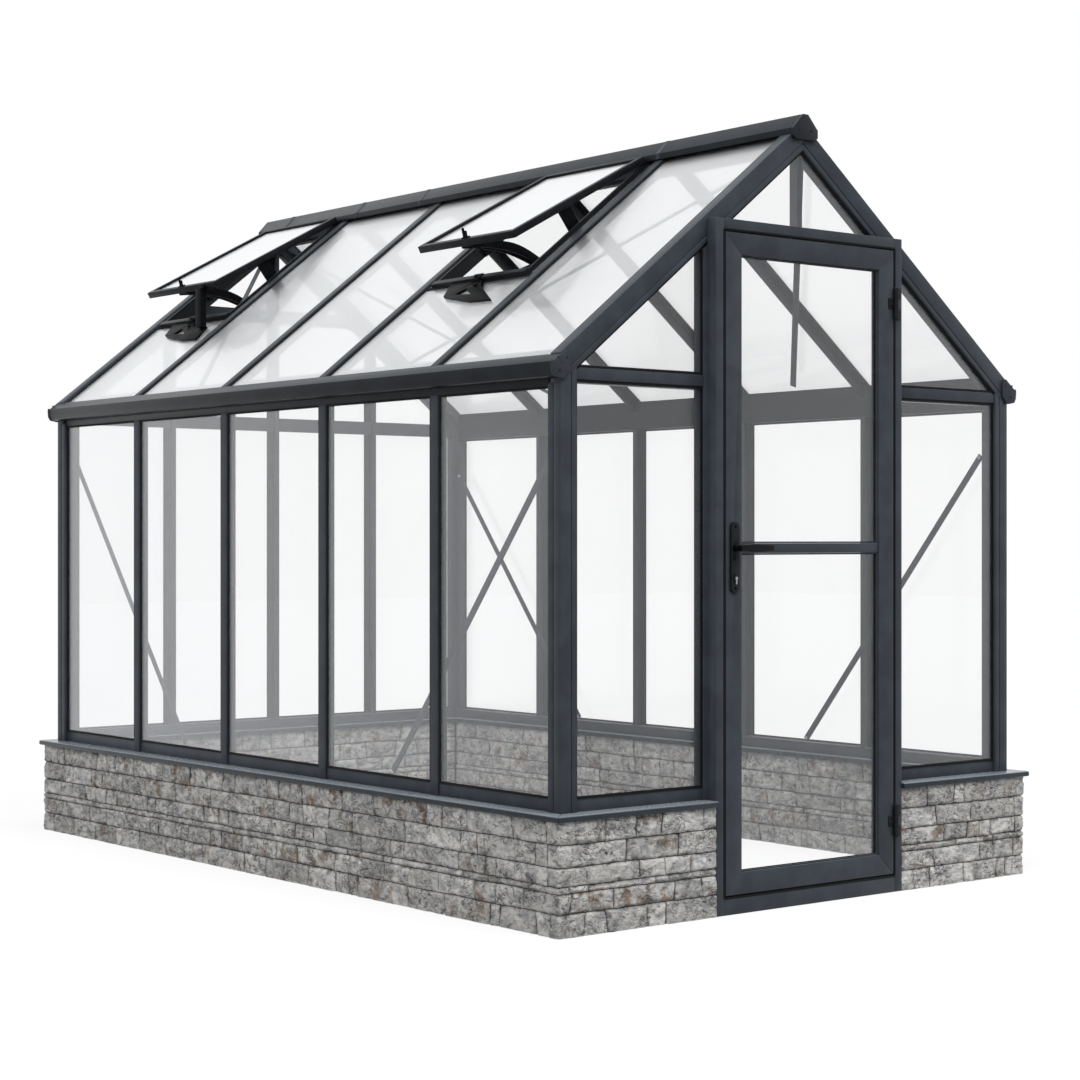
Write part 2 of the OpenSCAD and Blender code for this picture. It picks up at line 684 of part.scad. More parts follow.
// Mitred bar of a vent frame along its local X
module mitred_bar(length, width) intersection() {
    box([0, 0, vent_low], [length, width, vent_low + vent_bar_d]);
    along_z(vent_low, vent_low + vent_bar_d) polygon([
        [seat_gap, 0], [length - seat_gap, 0], [length - width - seat_gap, width], [width + seat_gap, width]
    ]);
}

module vent_frames() color("#2b3035") at_vents() vent_swing() {
    translate([vent_start, -vent_hw, 0]) mitred_bar(vent_l, vent_bar_w);
    mirror([0, 1, 0]) translate([vent_start, -vent_hw, 0]) mitred_bar(vent_l, vent_bar_w);
    translate([vent_start, vent_hw, 0]) rotate([0, 0, -90]) mitred_bar(2 * vent_hw, vent_bar_w);
    translate([vent_end, -vent_hw, 0]) rotate([0, 0, 90]) mitred_bar(2 * vent_hw, vent_bar_w);
}

module vent_glass() color(glass_colour) at_vents() vent_swing() {
    inset = vent_bar_w + seat_gap;
    pane_top = vent_top - 8;
    box([vent_start + inset, -vent_hw + inset, pane_top - glass_t],
        [vent_end - inset, vent_hw - inset, pane_top]);
}

// Kerb round the opening, hung on two rails between the roof bars: the upper rail takes the
// hinge of the vent, and the lower one stands proud of the pane below it
module vent_rails() color("#24292e") {
    under_glass = -seat_in - seat_gap;
    inside_gables() at_vented_bays() {
        box([vent_end, -rail_hw, rail_low], [rail_end, rail_hw, under_glass]);
        box([hinge_rail_s, -rail_hw, rail_low], [vent_start + vent_bar_w, rail_hw, under_glass]);
    }
    at_vents() {
        box([vent_end, -kerb_hw, rail_low], [rail_end, kerb_hw, rail_proud]);
        box([hinge_rail_s, -kerb_hw, rail_low], [vent_start + vent_bar_w, kerb_hw, 0]);
        for (side = [-1, 1]) scale([1, side, 1])
            box([vent_start, kerb_hw - kerb_t, -kerb_d], [vent_end + 1, kerb_hw, 0]);
        box([vent_end - kerb_t + 1, -kerb_hw, -kerb_d], [vent_end + 1, kerb_hw, 0]);
    }
}

// Flat link between two points in (along the slope, above it), at a place across the bay
module link(p, q, y, width, thick)
    translate([0, y + thick / 2, 0]) rotate([90, 0, 0]) linear_extrude(thick) {
    translate(p) circle(width / 2);
    translate(q) circle(width / 2);
    translate(p) rotate(atan2(q[1] - p[1], q[0] - p[0])) translate([0, -width / 2])
        square([norm(q - p), width]);
}

// Curved arm: a bowed strip that swells towards its middle, between two pins in the same plane
function bowed(p, q, t, bow, side) = let(
    along = (q - p) / norm(q - p), across = [-along[1], along[0]],
    swell = sin(180 * t), half = arm_end_r + (arm_mid_r - arm_end_r) * swell
) p + (q - p) * t + across * (bow * swell + side * half);
module curved_arm(p, q, y, bow, thick)
    translate([0, y + thick / 2, 0]) rotate([90, 0, 0]) linear_extrude(thick) {
    polygon(concat([for (t = [0 : 1 / 12 : 1]) bowed(p, q, t, bow, 1)],
        [for (t = [1 : -1 / 12 : 0]) bowed(p, q, t, bow, -1)]));
    translate(p) circle(arm_end_r);
    translate(q) circle(arm_end_r);
}
module pin(p, r, hl_y) translate([p[0], hl_y, p[1]]) rotate([90, 0, 0]) cylinder(r = r, h = 2 * hl_y);

// Round bar between two points of the same plane, in the middle of the bay
module tube(p, q, r) translate([p[0], 0, p[1]]) rotate([0, 90 - atan2(q[1] - p[1], q[0] - p[0]), 0])
    cylinder(r = r, h = norm(q - p));

// Thermal opener: a jaw on the lower rail, two flat arms with the cylinder between them, two
// curved arms from the elbow up to a bracket on the vent, and a splayed foot frame outside.
// The rear vent is also held by a stay standing beside its foot frame.
module vent_openers() color("#17191b") {
    at_vents() {
        opener_jaw();
        opener_arms();
        opener_bracket();
        foot_frame();
        side_stays();
        vent_peg();
    }
    at_vents([vent_bays[0]]) vent_stay();
}

module opener_jaw() {
    inner = vent_end - kerb_t + 1 - seat_gap;
    under = -kerb_d - seat_gap;
    box([inner - jaw_t, -jaw_hw, under - jaw_t], [inner, jaw_hw, -seat_in]);
    box([inner - jaw_t, -jaw_hw, under - jaw_t], [rail_end - 4, jaw_hw, under]);
    for (side = [-1, 1])
        link(jaw_pin, [inner - arm_end_r, jaw_pin[1]], side * outer_arm_y, 2 * arm_end_r, jaw_t);
}

module opener_arms() {
    for (side = [-1, 1]) {
        link(elbow, jaw_pin, side * inner_arm_y, 2 * arm_end_r, arm_t);
        curved_arm(vent_pin, elbow, side * outer_arm_y, arm_bow, arm_t);
    }
    for (p = [elbow, jaw_pin, vent_pin]) pin(p, arm_pin_r, cheek_y + 2);
    along = (jaw_pin - elbow) / norm(jaw_pin - elbow);
    tube(elbow - along * 14, elbow + along * cylinder_l, cylinder_r);
    tube(elbow, jaw_pin, rod_r);
}

// Two cheeks under a foot plate, carried by the lower bar of the vent
module opener_bracket() vent_swing() {
    plate_s = [vent_end - 20, vent_end - 2];
    plate_h = vent_low - seat_gap;
    for (side = [-1, 1])
        translate([0, side * cheek_y + jaw_t / 2, 0]) rotate([90, 0, 0]) linear_extrude(jaw_t) {
            translate(cheek_pin) circle(arm_end_r);
            polygon([
                cheek_pin - [0, arm_end_r], [plate_s[1], vent_low - 8], [plate_s[1], plate_h],
                [cheek_pin[0] - arm_end_r, plate_h], cheek_pin - [arm_end_r, 0]
            ]);
        }
    box([plate_s[0], -cheek_y - 2, vent_low - 5], [plate_s[1], cheek_y + 2, plate_h]);
}

// Foot frame outside, bolted to the lower rail and lying just above the glass
module foot_frame() {
    clamp_z = rail_proud + seat_gap;
    clamp_hw = 23;
    difference() {
        foot_plate(foot_plan, foot_top);
        translate([0, 0, -1]) foot_plate(foot_window_plan, foot_top + 2);
    }
    box([rail_end + seat_gap, -clamp_hw, foot_low], [rail_end + 12, clamp_hw, clamp_z + 4]);
    box([vent_end + 2, -clamp_hw, clamp_z], [rail_end + 12, clamp_hw, clamp_z + 4]);
    translate([rail_end - 4, 0, clamp_z + 3]) cylinder(r = 7, h = 5);
    translate([rail_end + 40, -33, foot_top - 1]) cylinder(r = 7, h = 7);
}

// Plate with a plan given from the edge of the opening
module foot_plate(plan, top) translate([rail_end, 0, foot_low])
    linear_extrude(top - foot_low) polygon(plan);

// Stay from a plate on the front of the vent down to its pad beside the foot frame
module vent_stay() {
    foot_plate(stay_pad_plan, foot_top);
    vent_swing() box([vent_end + seat_gap, stay_y - stay_w / 2 + 2, vent_low + 1],
        [vent_end + 5, stay_y + stay_w / 2 - 2, vent_top - 3]);
    head = swung(vent_end + stay_t / 2 + seat_gap, vent_low + 10);
    foot = [foot_s, foot_low + stay_t / 2 + 1];
    translate([head[0], stay_y, head[1]]) rotate([0, atan2(head[1] - foot[1], foot[0] - head[0]), 0])
        box([0, -stay_w / 2, -stay_t / 2], [norm(foot - head), stay_w / 2, stay_t / 2]);
}

// Plates inside the kerb on which the side bars of the open vent rest
module side_stays() for (side = [-1, 1]) scale([1, side, 1])
    translate([0, kerb_hw - kerb_t - seat_gap, 0]) rotate([90, 0, 0]) linear_extrude(side_stay_t) polygon([
        [side_stay_s[0], -kerb_d], [side_stay_s[1], -kerb_d],
        [side_stay_s[1], (side_stay_s[1] - vent_start) * tan(vent_open)],
        [side_stay_s[0], (side_stay_s[0] - vent_start) * tan(vent_open)]
    ]);

// Peg with a hook on the lower bar of the vent
module vent_peg() vent_swing() {
    base = vent_top + seat_gap;
    box([vent_end - 18, -16, base], [vent_end - 4, 16, base + 4]);
    link([vent_end - 11, base + 4], [vent_end - 17, base + 30], 6, 7, 6);
    link([vent_end - 11, base + 4], [vent_end - 15, base + 20], -6, 6, 5);
}

// ---------- door leaf ----------

// Mitred bar of the leaf frame, laid along X from 0 with its outer edge at the bottom
module leaf_frame_bar(length)
    translate([0, door_y, 0]) rotate([-90, 0, 0]) mirror([0, 1, 0]) linear_extrude(leaf_t)
    polygon([
        [seat_gap, 0], [length - seat_gap, 0],
        [length - stile_w - seat_gap, stile_w], [stile_w + seat_gap, stile_w]
    ]);

module door_stiles() color("#3d444b") difference() {
    both_sides()
        translate([leaf_hw, 0, leaf_bottom]) rotate([0, -90, 0]) leaf_frame_bar(leaf_top - leaf_bottom);
    spindle(spindle_r + pin_gap, plate_t);
}

module door_rails() color("#3d444b") {
    translate([-leaf_hw, 0, leaf_bottom]) leaf_frame_bar(2 * leaf_hw);
    translate([0, 0, leaf_top]) mirror([0, 0, 1]) translate([-leaf_hw, 0, 0]) leaf_frame_bar(2 * leaf_hw);
    box([-leaf_hw + stile_w, door_y + 4, mid_rail_z - mid_rail_h / 2],
        [leaf_hw - stile_w, leaf_back - 4, mid_rail_z + mid_rail_h / 2]);
}

module door_glass() color(glass_colour) {
    x = leaf_hw - stile_w - seat_gap;
    y = door_y + leaf_t / 2 - glass_t / 2;
    bead = mid_rail_h / 2 + seat_gap;
    box([-x, y, leaf_bottom + stile_w + seat_gap], [x, y + glass_t, mid_rail_z - bead]);
    box([-x, y, mid_rail_z + bead], [x, y + glass_t, leaf_top - stile_w - seat_gap]);
}

// ---------- door furniture ----------

module stadium(width, height) {
    square([width, height - width], center = true);
    for (s = [-1, 1]) translate([0, s * (height - width) / 2]) circle(width / 2);
}

// Spindle of the lock, running on past both faces of the leaf
module spindle(radius, past) translate([lock_x, 0, lever_z])
    along_y(door_y - past, leaf_back + past) circle(radius);

module handle_plate() {
    along_y(-plate_t, 0) translate([0, plate_z]) stadium(plate_w, plate_h);
    along_y(-plate_t - key_boss_t, 0) translate([0, key_z]) stadium(key_boss_w, key_boss_h);
    along_y(-plate_t - snib_t, 0) translate([0, lever_z - snib_drop]) circle(snib_r);
}

module handle_plates() color("#17191b") difference() {
    union() {
        translate([lock_x, door_y, 0]) handle_plate();
        translate([lock_x, leaf_back, 0]) mirror([0, 1, 0]) handle_plate();
    }
    spindle(spindle_r + pin_gap, 2 * plate_t);
}

// Lever on the outer side: rose, neck and a grip that points towards the hinges and tapers
module lever() {
    tip_r = lever_h * 0.36;
    tip_x = lever_l - tip_r;
    along_y(-rose_t, 0) circle(rose_r);
    along_y(-lever_reach, 0) circle(neck_r);
    along_y(-lever_reach - grip_t * 2 / 3, -lever_reach + grip_t / 3) {
        circle(neck_r + 1);
        polygon([
            [0, -neck_r - 1], [lever_l * 0.3, -lever_h / 2], [tip_x, -tip_r], [tip_x, tip_r],
            [lever_l * 0.3, lever_h / 2], [0, neck_r + 1]
        ]);
        translate([tip_x, 0]) circle(tip_r);
    }
}

module door_levers() color("#17191b") {
    spindle(spindle_r, plate_t + seat_gap);
    translate([lock_x, door_y - plate_t - seat_gap, lever_z]) lever();
    translate([lock_x, leaf_back + plate_t + seat_gap, lever_z]) mirror([0, 1, 0]) lever();
}

module hinge_half(low, high) translate([hinge_x, hinge_y, 0]) along_z(low, high) circle(knuckle_r);

module frame_hinges() color("#17191b") for (z = hinge_zs) {
    third = hinge_h / 3;
    for (k = [0, 2]) {
        hinge_half(z + k * third, z + (k + 1) * third);
        box([hinge_x, door_y - hinge_leaf_t, z + k * third],
            [jamb_in + hinge_leaf_w, door_y - seat_gap, z + (k + 1) * third]);
    }
    translate([hinge_x, hinge_y, z]) cylinder(r = hinge_pin_r, h = hinge_h);
}

module door_hinges() color("#17191b") for (z = hinge_zs) {
    third = hinge_h / 3;
    difference() {
        union() {
            hinge_half(z + third + 0.5, z + 2 * third - 0.5);
            box([leaf_hw - hinge_leaf_w, door_y - hinge_leaf_t, z + third + 0.5],
                [hinge_x, door_y - seat_gap, z + 2 * third - 0.5]);
        }
        translate([hinge_x, hinge_y, z]) cylinder(r = hinge_pin_r + pin_gap, h = hinge_h);
    }
}

wall_left();
wall_right();
wall_back();
wall_front_left();
wall_front_right();
sill_left();
sill_right();
sill_back();
sill_front();
corner_posts();
base_rails();
side_bars();
gutters();
gutter_end_caps();
front_rafters();
back_rafters();
ridge_beam();
ridge_cap();
roof_bars();
front_gable_bars();
door_posts();
door_jambs();
door_head();
door_threshold();
back_posts();
back_gable_bars();
wall_braces();
roof_braces();
glass_left();
glass_right();
roof_glass_left();
roof_glass_right();
front_glass();
back_glass();
vent_frames();
vent_glass();
vent_rails();
vent_openers();
door_stiles();
door_rails();
door_glass();
handle_plates();
frame_hinges();
door_hinges();
door_levers();
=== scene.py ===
"""Small garden greenhouse: powder-coated aluminium frame, single glazing, low split-stone wall."""

import bisect
import json
import math
import random

import bpy
from mathutils import Matrix, Vector, noise


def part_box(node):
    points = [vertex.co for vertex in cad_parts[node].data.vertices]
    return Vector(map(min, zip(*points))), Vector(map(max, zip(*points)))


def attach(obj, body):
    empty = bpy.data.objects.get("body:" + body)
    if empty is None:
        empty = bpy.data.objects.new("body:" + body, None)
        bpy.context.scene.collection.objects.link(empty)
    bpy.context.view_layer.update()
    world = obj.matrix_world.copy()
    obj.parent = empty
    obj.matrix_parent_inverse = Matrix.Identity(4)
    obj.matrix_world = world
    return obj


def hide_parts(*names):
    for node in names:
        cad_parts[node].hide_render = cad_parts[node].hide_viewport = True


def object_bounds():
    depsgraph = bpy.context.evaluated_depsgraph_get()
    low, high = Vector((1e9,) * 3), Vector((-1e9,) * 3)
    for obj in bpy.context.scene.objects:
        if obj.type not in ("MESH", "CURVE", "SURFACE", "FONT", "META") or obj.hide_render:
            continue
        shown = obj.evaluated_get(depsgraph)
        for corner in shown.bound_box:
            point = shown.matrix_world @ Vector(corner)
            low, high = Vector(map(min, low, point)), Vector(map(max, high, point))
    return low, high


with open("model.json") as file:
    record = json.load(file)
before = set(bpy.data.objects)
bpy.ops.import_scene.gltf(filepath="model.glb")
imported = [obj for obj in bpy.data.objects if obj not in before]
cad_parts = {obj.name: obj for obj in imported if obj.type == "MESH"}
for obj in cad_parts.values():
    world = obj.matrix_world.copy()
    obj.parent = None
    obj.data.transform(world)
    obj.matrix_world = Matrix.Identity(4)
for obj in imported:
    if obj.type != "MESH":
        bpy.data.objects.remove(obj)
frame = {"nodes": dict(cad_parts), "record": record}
cad_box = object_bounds()
nodes = frame["nodes"]
MM = 0.001
X, Y = Vector((1, 0, 0)), Vector((0, 1, 0))


# ---------- colours and node trees ----------

def srgb(text):
    """Linear RGBA of an sRGB hex colour."""
    parts = [int(text[i:i + 2], 16) / 255 for i in (1, 3, 5)]
    return tuple(c / 12.92 if c <= 0.04045 else ((c + 0.055) / 1.055) ** 2.4 for c in parts) + (1.0,)


def add(tree, kind, inputs=(), settings=None, out=0):
    """Adds one shader node and gives back one of its outputs. The inputs stand in order or by name,
    each a number, a vector, a hex colour or the output of another node."""
    node = tree.nodes.new("ShaderNode" + kind)
    for key, value in (settings or {}).items():
        setattr(node, key, value)
    for key, value in inputs.items() if isinstance(inputs, dict) else enumerate(inputs):
        if isinstance(value, bpy.types.NodeSocket):
            tree.links.new(value, node.inputs[key])
        else:
            node.inputs[key].default_value = srgb(value) if isinstance(value, str) else value
    return node.outputs[out] if node.outputs else None


# For mixing colours: the node's settings, the places of its inputs and that of its output
COLOURS = {"data_type": "RGBA"}
SHARE, FIRST, SECOND = 0, 6, 7
MIXED = 2


def blank(name):
    """An empty material and its tree."""
    material = bpy.data.materials.new(name)
    material.use_nodes = True
    material.node_tree.nodes.clear()
    return material, material.node_tree


def speckle(tree, size, detail=3.0, roughness=0.55, stretch=None, swirl=0.0):
    """Noise on the piece whose grains are about size metres across. It may be drawn out along an
    axis and into swirls."""
    spot = add(tree, "TexCoord", out="Object")
    if stretch:
        spot = add(tree, "Mapping", {"Vector": spot, "Scale": stretch})
    return add(tree, "TexNoise", {"Vector": spot, "Scale": 1 / size, "Detail": detail,
                                  "Roughness": roughness, "Distortion": swirl})


# ---------- finishes ----------

# The second colour paints upward faces paler: settled dust and a painted sheen
DUST_IN_THE_GRAIN, TOP_DUST_AND_SHEEN = "#565d66", "#a9b1b7"


def powder_coat(name, deep, pale, roughness, shine, dust_and_sheen):
    """Polyester powder coat on extruded aluminium: satin, faintly mottled, with a fine orange peel.
    The peel is about 1.5 mm across on the real bars and is drawn at 3 mm so that it shows.
    Faces that look up are painted paler: partly settled dust, partly a painted sheen of the bright sky
    on the tops."""
    material, tree = blank(name)
    patch = add(tree, "MapRange", (speckle(tree, 90 * MM, 2.0), 0.35, 0.65))
    dust = add(tree, "MapRange", (speckle(tree, 9 * MM, 4.0, 0.7), 0.42, 0.78))
    colour = add(tree, "Mix", {SHARE: patch, FIRST: deep, SECOND: pale}, COLOURS, MIXED)
    thin_dust = add(tree, "MapRange", (dust, 0, 1, 0, 0.06))
    colour = add(tree, "Mix", {SHARE: thin_dust, FIRST: colour, SECOND: DUST_IN_THE_GRAIN},
                 COLOURS, MIXED)
    upward = add(tree, "SeparateXYZ", (add(tree, "NewGeometry", out="Normal"),), out="Z")
    # Painted sheen on the faces that look up, with some settled dust
    layer = add(tree, "MapRange", (upward, 0.35, 0.95, 0, dust_and_sheen))
    colour = add(tree, "Mix", {SHARE: layer, FIRST: colour, SECOND: TOP_DUST_AND_SHEEN}, COLOURS, MIXED)
    peel = speckle(tree, 3 * MM, 2.0)
    shader = add(tree, "BsdfPrincipled", {
        "Base Color": colour,
        "Roughness": add(tree, "MapRange", (dust, 0, 1, roughness - 0.04, roughness + 0.08)),
        "Specular IOR Level": shine,
        "Normal": add(tree, "Bump", {"Height": peel, "Distance": 0.06 * MM, "Strength": 0.6}),
    })
    add(tree, "OutputMaterial", (shader,))
    return material


def moulded_plastic(name, deep, pale):
    """Glass-filled nylon moulding: matt, clouded, with a fine spark-eroded grain. The grain is well
    under 1 mm on a real moulding and is drawn at 1.6 mm so that it shows."""
    material, tree = blank(name)
    grain = speckle(tree, 1.6 * MM, 2.0)
    cloud = add(tree, "MapRange", (speckle(tree, 30 * MM), 0.35, 0.7))
    shader = add(tree, "BsdfPrincipled", {
        "Base Color": add(tree, "Mix", {SHARE: cloud, FIRST: deep, SECOND: pale}, COLOURS, MIXED),
        "Roughness": add(tree, "MapRange", (grain, 0.3, 0.7, 0.44, 0.58)),
        "Specular IOR Level": 0.15,
        "Normal": add(tree, "Bump", {"Height": grain, "Distance": 0.08 * MM, "Strength": 0.5}),
    })
    add(tree, "OutputMaterial", (shader,))
    return material


def epdm_rubber():
    """Extruded EPDM glazing seal: soft black with a dull bloom."""
    material, tree = blank("epdm_rubber")
    bloom = add(tree, "MapRange", (speckle(tree, 14 * MM, 4.0, 0.7), 0.4, 0.8))
    black = {SHARE: bloom, FIRST: "#08090a", SECOND: "#141517"}
    shader = add(tree, "BsdfPrincipled", {
        "Base Color": add(tree, "Mix", black, COLOURS, MIXED),
        "Roughness": add(tree, "MapRange", (bloom, 0, 1, 0.62, 0.8)),
        "Specular IOR Level": 0.2,
    })
    add(tree, "OutputMaterial", (shader,))
    return material


def stainless_steel():
    """Cold-headed stainless fastener: bright, with fine turned lines, drawn at 1.2 mm, several times
    coarser than they are, so that they show."""
    material, tree = blank("stainless_steel")
    turned = speckle(tree, 1.2 * MM, 3.0)
    lines = add(tree, "MapRange", (turned, 0.3, 0.7))
    metal = {SHARE: lines, FIRST: "#b9bcbf", SECOND: "#8d9194"}
    shader = add(tree, "BsdfPrincipled", {
        "Base Color": add(tree, "Mix", metal, COLOURS, MIXED),
        "Metallic": 1.0,
        "Roughness": add(tree, "MapRange", (turned, 0.3, 0.7, 0.22, 0.38)),
    })
    add(tree, "OutputMaterial", (shader,))
    return material


def split_stone():
    """Split limestone laid in courses: pale grey with patches of brown iron stain, pale and dark
    veins, thin dark cracks that wind through the face and a sharp broken grain. Each stone has its
    own tone and stain, kept on its points."""
    material, tree = blank("split_stone")
    tone, stain, joint = (add(tree, "Attribute", settings={"attribute_name": name}, out="Fac")
                          for name in ("stone_tone", "stone_stain", "stone_joint_and_shade"))
    lying = (1.0, 1.0, 1.6)
    cloud = add(tree, "MapRange", (speckle(tree, 46 * MM, 6.0, 0.66, lying, 0.6), 0.38, 0.6))
    vein = speckle(tree, 36 * MM, 7.0, 0.62, lying, 1.2)
    grit = speckle(tree, 5 * MM, 4.0, 0.72)
    rust = add(tree, "MapRange", (speckle(tree, 60 * MM, 5.0, 0.62), 0.5, 0.62))
    rust = add(tree, "Math", (rust, stain), {"operation": "MULTIPLY"})
    pale_vein = add(tree, "MapRange", (vein, 0.55, 0.68, 0.0, 0.7))
    dark_vein = add(tree, "MapRange", (vein, 0.34, 0.46, 0.8, 0.0))
    colour = add(tree, "Mix", {SHARE: cloud, FIRST: "#9d9d9e", SECOND: "#cfcdc9"}, COLOURS, MIXED)
    for share, shade in ((rust, "#86715f"), (pale_vein, "#dfddd9"), (dark_vein, "#62605e")):
        colour = add(tree, "Mix", {SHARE: share, FIRST: colour, SECOND: shade}, COLOURS, MIXED)

    # Cracks run where a smooth noise passes its middle, and only where the stone is broken
    relief = vein
    broken = add(tree, "MapRange", (speckle(tree, 70 * MM, 3.0), 0.42, 0.56))
    for size, width, dark in ((60 * MM, 0.012, 0.95), (30 * MM, 0.018, 0.85)):
        line = speckle(tree, size, 4.0, 0.5, (1.0, 1.0, 1.7), 1.0)
        line = add(tree, "MapRange", (line, 0, 1, -0.5, 0.5))
        crack = add(tree, "Math", (line,), {"operation": "ABSOLUTE"})
        crack = add(tree, "MapRange", (crack, 0.0, width, 1.0, 0.0))
        crack = add(tree, "Math", (crack, broken), {"operation": "MULTIPLY"})
        share = add(tree, "MapRange", (crack, 0, 1, 0, dark))
        colour = add(tree, "Mix", {SHARE: share, FIRST: colour, SECOND: "#3d3a37"}, COLOURS, MIXED)
        cut = add(tree, "MapRange", (crack, 0, 1, 0, 0.35))
        relief = add(tree, "Math", (relief, cut), {"operation": "SUBTRACT"})

    light = add(tree, "MapRange", (tone, 0, 1, 0.76, 1.1))
    colour = add(tree, "Mix", {SHARE: 1.0, FIRST: colour, SECOND: light},
                 {**COLOURS, "blend_type": "MULTIPLY"}, MIXED)
    # Painted shade in the pits of the fine grain, where its bump is lowest
    pit_shade = add(tree, "MapRange", (grit, 0.3, 0.44, 0.25, 0.0))
    # The joints are dark; the same share paints shade in the hollows of the faces and on the arrises
    # beside the joints
    for share, shade in ((pit_shade, "#5c5956"), (joint, "#262321")):
        colour = add(tree, "Mix", {SHARE: share, FIRST: colour, SECOND: shade}, COLOURS, MIXED)
    broad = add(tree, "Bump", {"Height": relief, "Distance": 9.0 * MM, "Strength": 0.9})
    fine = add(tree, "Bump", {"Height": grit, "Distance": 1.2 * MM, "Strength": 0.7, "Normal": broad})
    shader = add(tree, "BsdfPrincipled", {
        "Base Color": colour, "Roughness": 0.9, "Specular IOR Level": 0.25, "Normal": fine})
    add(tree, "OutputMaterial", (shader,))
    return material


def toughened_glass():
    """Toughened 4 mm glass: clear, with a skin that grows as the eye comes down to it. The skin is
    mostly the broad pale shine of a fine film of dust, and a little of it a sharp mirror. Lamplight
    passes through."""
    material, tree = blank("toughened_glass")
    facing = add(tree, "LayerWeight", {"Blend": 0.5}, out="Facing")
    steep = add(tree, "Math", (facing, 3.8), {"operation": "POWER"})
    skin = add(tree, "Math", (steep, 1.8, 0.045), {"operation": "MULTIPLY_ADD", "use_clamp": True})
    lamp_ray = add(tree, "LightPath", out="Is Shadow Ray")
    skin = add(tree, "Math", (skin, lamp_ray), {"operation": "SUBTRACT", "use_clamp": True})
    clear = add(tree, "BsdfTransparent", {"Color": "#ffffff"})
    mirror = add(tree, "BsdfGlossy", {"Color": "#ffffff", "Roughness": 0.02})
    dust = add(tree, "BsdfGlossy", {"Color": "#fafcfe", "Roughness": 0.35})
    film = add(tree, "MixShader", (0.85, mirror, dust))
    add(tree, "OutputMaterial", (add(tree, "MixShader", (skin, clear, film)),))
    return material


stone = split_stone()
# Each coat: its deep and pale tones, roughness, shine, and how much paler its upward faces are painted,
# as settled dust and painted sheen
anthracite = powder_coat("anthracite_powder_coat", "#32363c", "#3a3f46", 0.4, 0.13, 0.1)
# The sill's top is painted much paler: mostly a painted highlight of the sky along it, with some dust
sill_coat = powder_coat("sill_powder_coat", "#18222a", "#202b33", 0.26, 0.22, 0.5)
# The same anthracite coat as the frame, painted darker: painted shade on the gutters, ridge cap and roof
# bars
shaded_eaves_coat = powder_coat("eaves_powder_coat_painted_shade", "#191c20", "#1f2328", 0.34, 0.13, 0.11)
vent_coat = powder_coat("vent_powder_coat", "#0f1114", "#15171b", 0.42, 0.1, 0.03)
brace_coat = powder_coat("brace_powder_coat", "#31363b", "#3c4247", 0.4, 0.13, 0.1)
black_steel = powder_coat("black_coated_steel", "#030304", "#070708", 0.46, 0.06, 0.0)
lever_coat = powder_coat("lever_black_coat", "#030304", "#060607", 0.34, 0.12, 0.0)
nylon = moulded_plastic("black_nylon", "#101214", "#181a1d")
cap_plastic = moulded_plastic("end_cap_nylon", "#2c3036", "#353a41")
rubber = epdm_rubber()
steel = stainless_steel()
glass = toughened_glass()

finish_of_slot = {
    "wall_stone": stone, "sill_metal": sill_coat, "frame_metal": anthracite, "vent_metal": vent_coat,
    "opener_metal": black_steel, "lever_metal": lever_coat, "brace_metal": brace_coat,
    "black_plastic": nylon, "pane_glass": glass,
}
# Gutters, ridge cap and roof bars take the darker copy of the anthracite coat: painted shade
finish_of_node = {"gutter_end_caps": cap_plastic, "gutters": shaded_eaves_coat, "ridge_cap": shaded_eaves_coat,
                  "roof_bars": shaded_eaves_coat}
slot_of_node = {part["node"]: part["material_slot"] for part in frame["record"]["subparts"]}
body_of_node = {name: body for body, names in frame["record"]["behaviour"]["bodies"].items()
                for name in names}
for name, node in nodes.items():
    finish = finish_of_node.get(name) or finish_of_slot[slot_of_node[name]]
    for place in node.material_slots:
        place.material = finish


# ---------- making pieces ----------

def alone(obj):
    """Selects one object only."""
    bpy.ops.object.select_all(action="DESELECT")
    obj.select_set(True)
    bpy.context.view_layer.objects.active = obj


def edit_all(obj):
    """Opens one object for editing with all of it selected."""
    alone(obj)
    bpy.ops.object.mode_set(mode="EDIT")
    bpy.ops.mesh.select_mode(type="VERT")
    bpy.ops.mesh.select_all(action="SELECT")


def close_edit():
    """Goes back to object mode."""
    bpy.ops.object.mode_set(mode="OBJECT")


def edit_top(obj):
    """Opens one object for editing with its highest and widest face selected."""
    edit_all(obj)
    bpy.ops.mesh.select_mode(type="FACE")
    bpy.ops.mesh.select_all(action="DESELECT")
    close_edit()
    top = max(obj.data.polygons, key=lambda face: (round(face.center.z, 6), face.area))
    top.select = True
    bpy.ops.object.mode_set(mode="EDIT")


def joined(pieces):
    """One object made of several."""
    alone(pieces[0])
    for piece in pieces:
        piece.select_set(True)
    if len(pieces) > 1:
        bpy.ops.object.join()
    return pieces[0]


def modified(obj, kind, **settings):
    """Adds a modifier and applies it."""
    alone(obj)
    modifier = obj.modifiers.new(kind.lower(), kind)
    for key, value in settings.items():
        setattr(modifier, key, value)
    bpy.ops.object.modifier_apply(modifier=modifier.name)


def bevelled(obj, width, segments=2, angle=40, **settings):
    """Rounds the edges that turn by more than an angle."""
    modified(obj, "BEVEL", width=width, segments=segments, limit_method="ANGLE",
             angle_limit=math.radians(angle), **settings)


def smoothed(obj, angle):
    """Shades as one surface the faces that meet below an angle."""
    alone(obj)
    bpy.ops.object.shade_smooth_by_angle(angle=math.radians(angle))


def block(centre, size):
    """A block to be joined and eased."""
    bpy.ops.mesh.primitive_cube_add(size=1, location=centre)
    obj = bpy.context.object
    obj.scale = size
    bpy.ops.object.transform_apply(location=True, rotation=True, scale=True)
    return obj


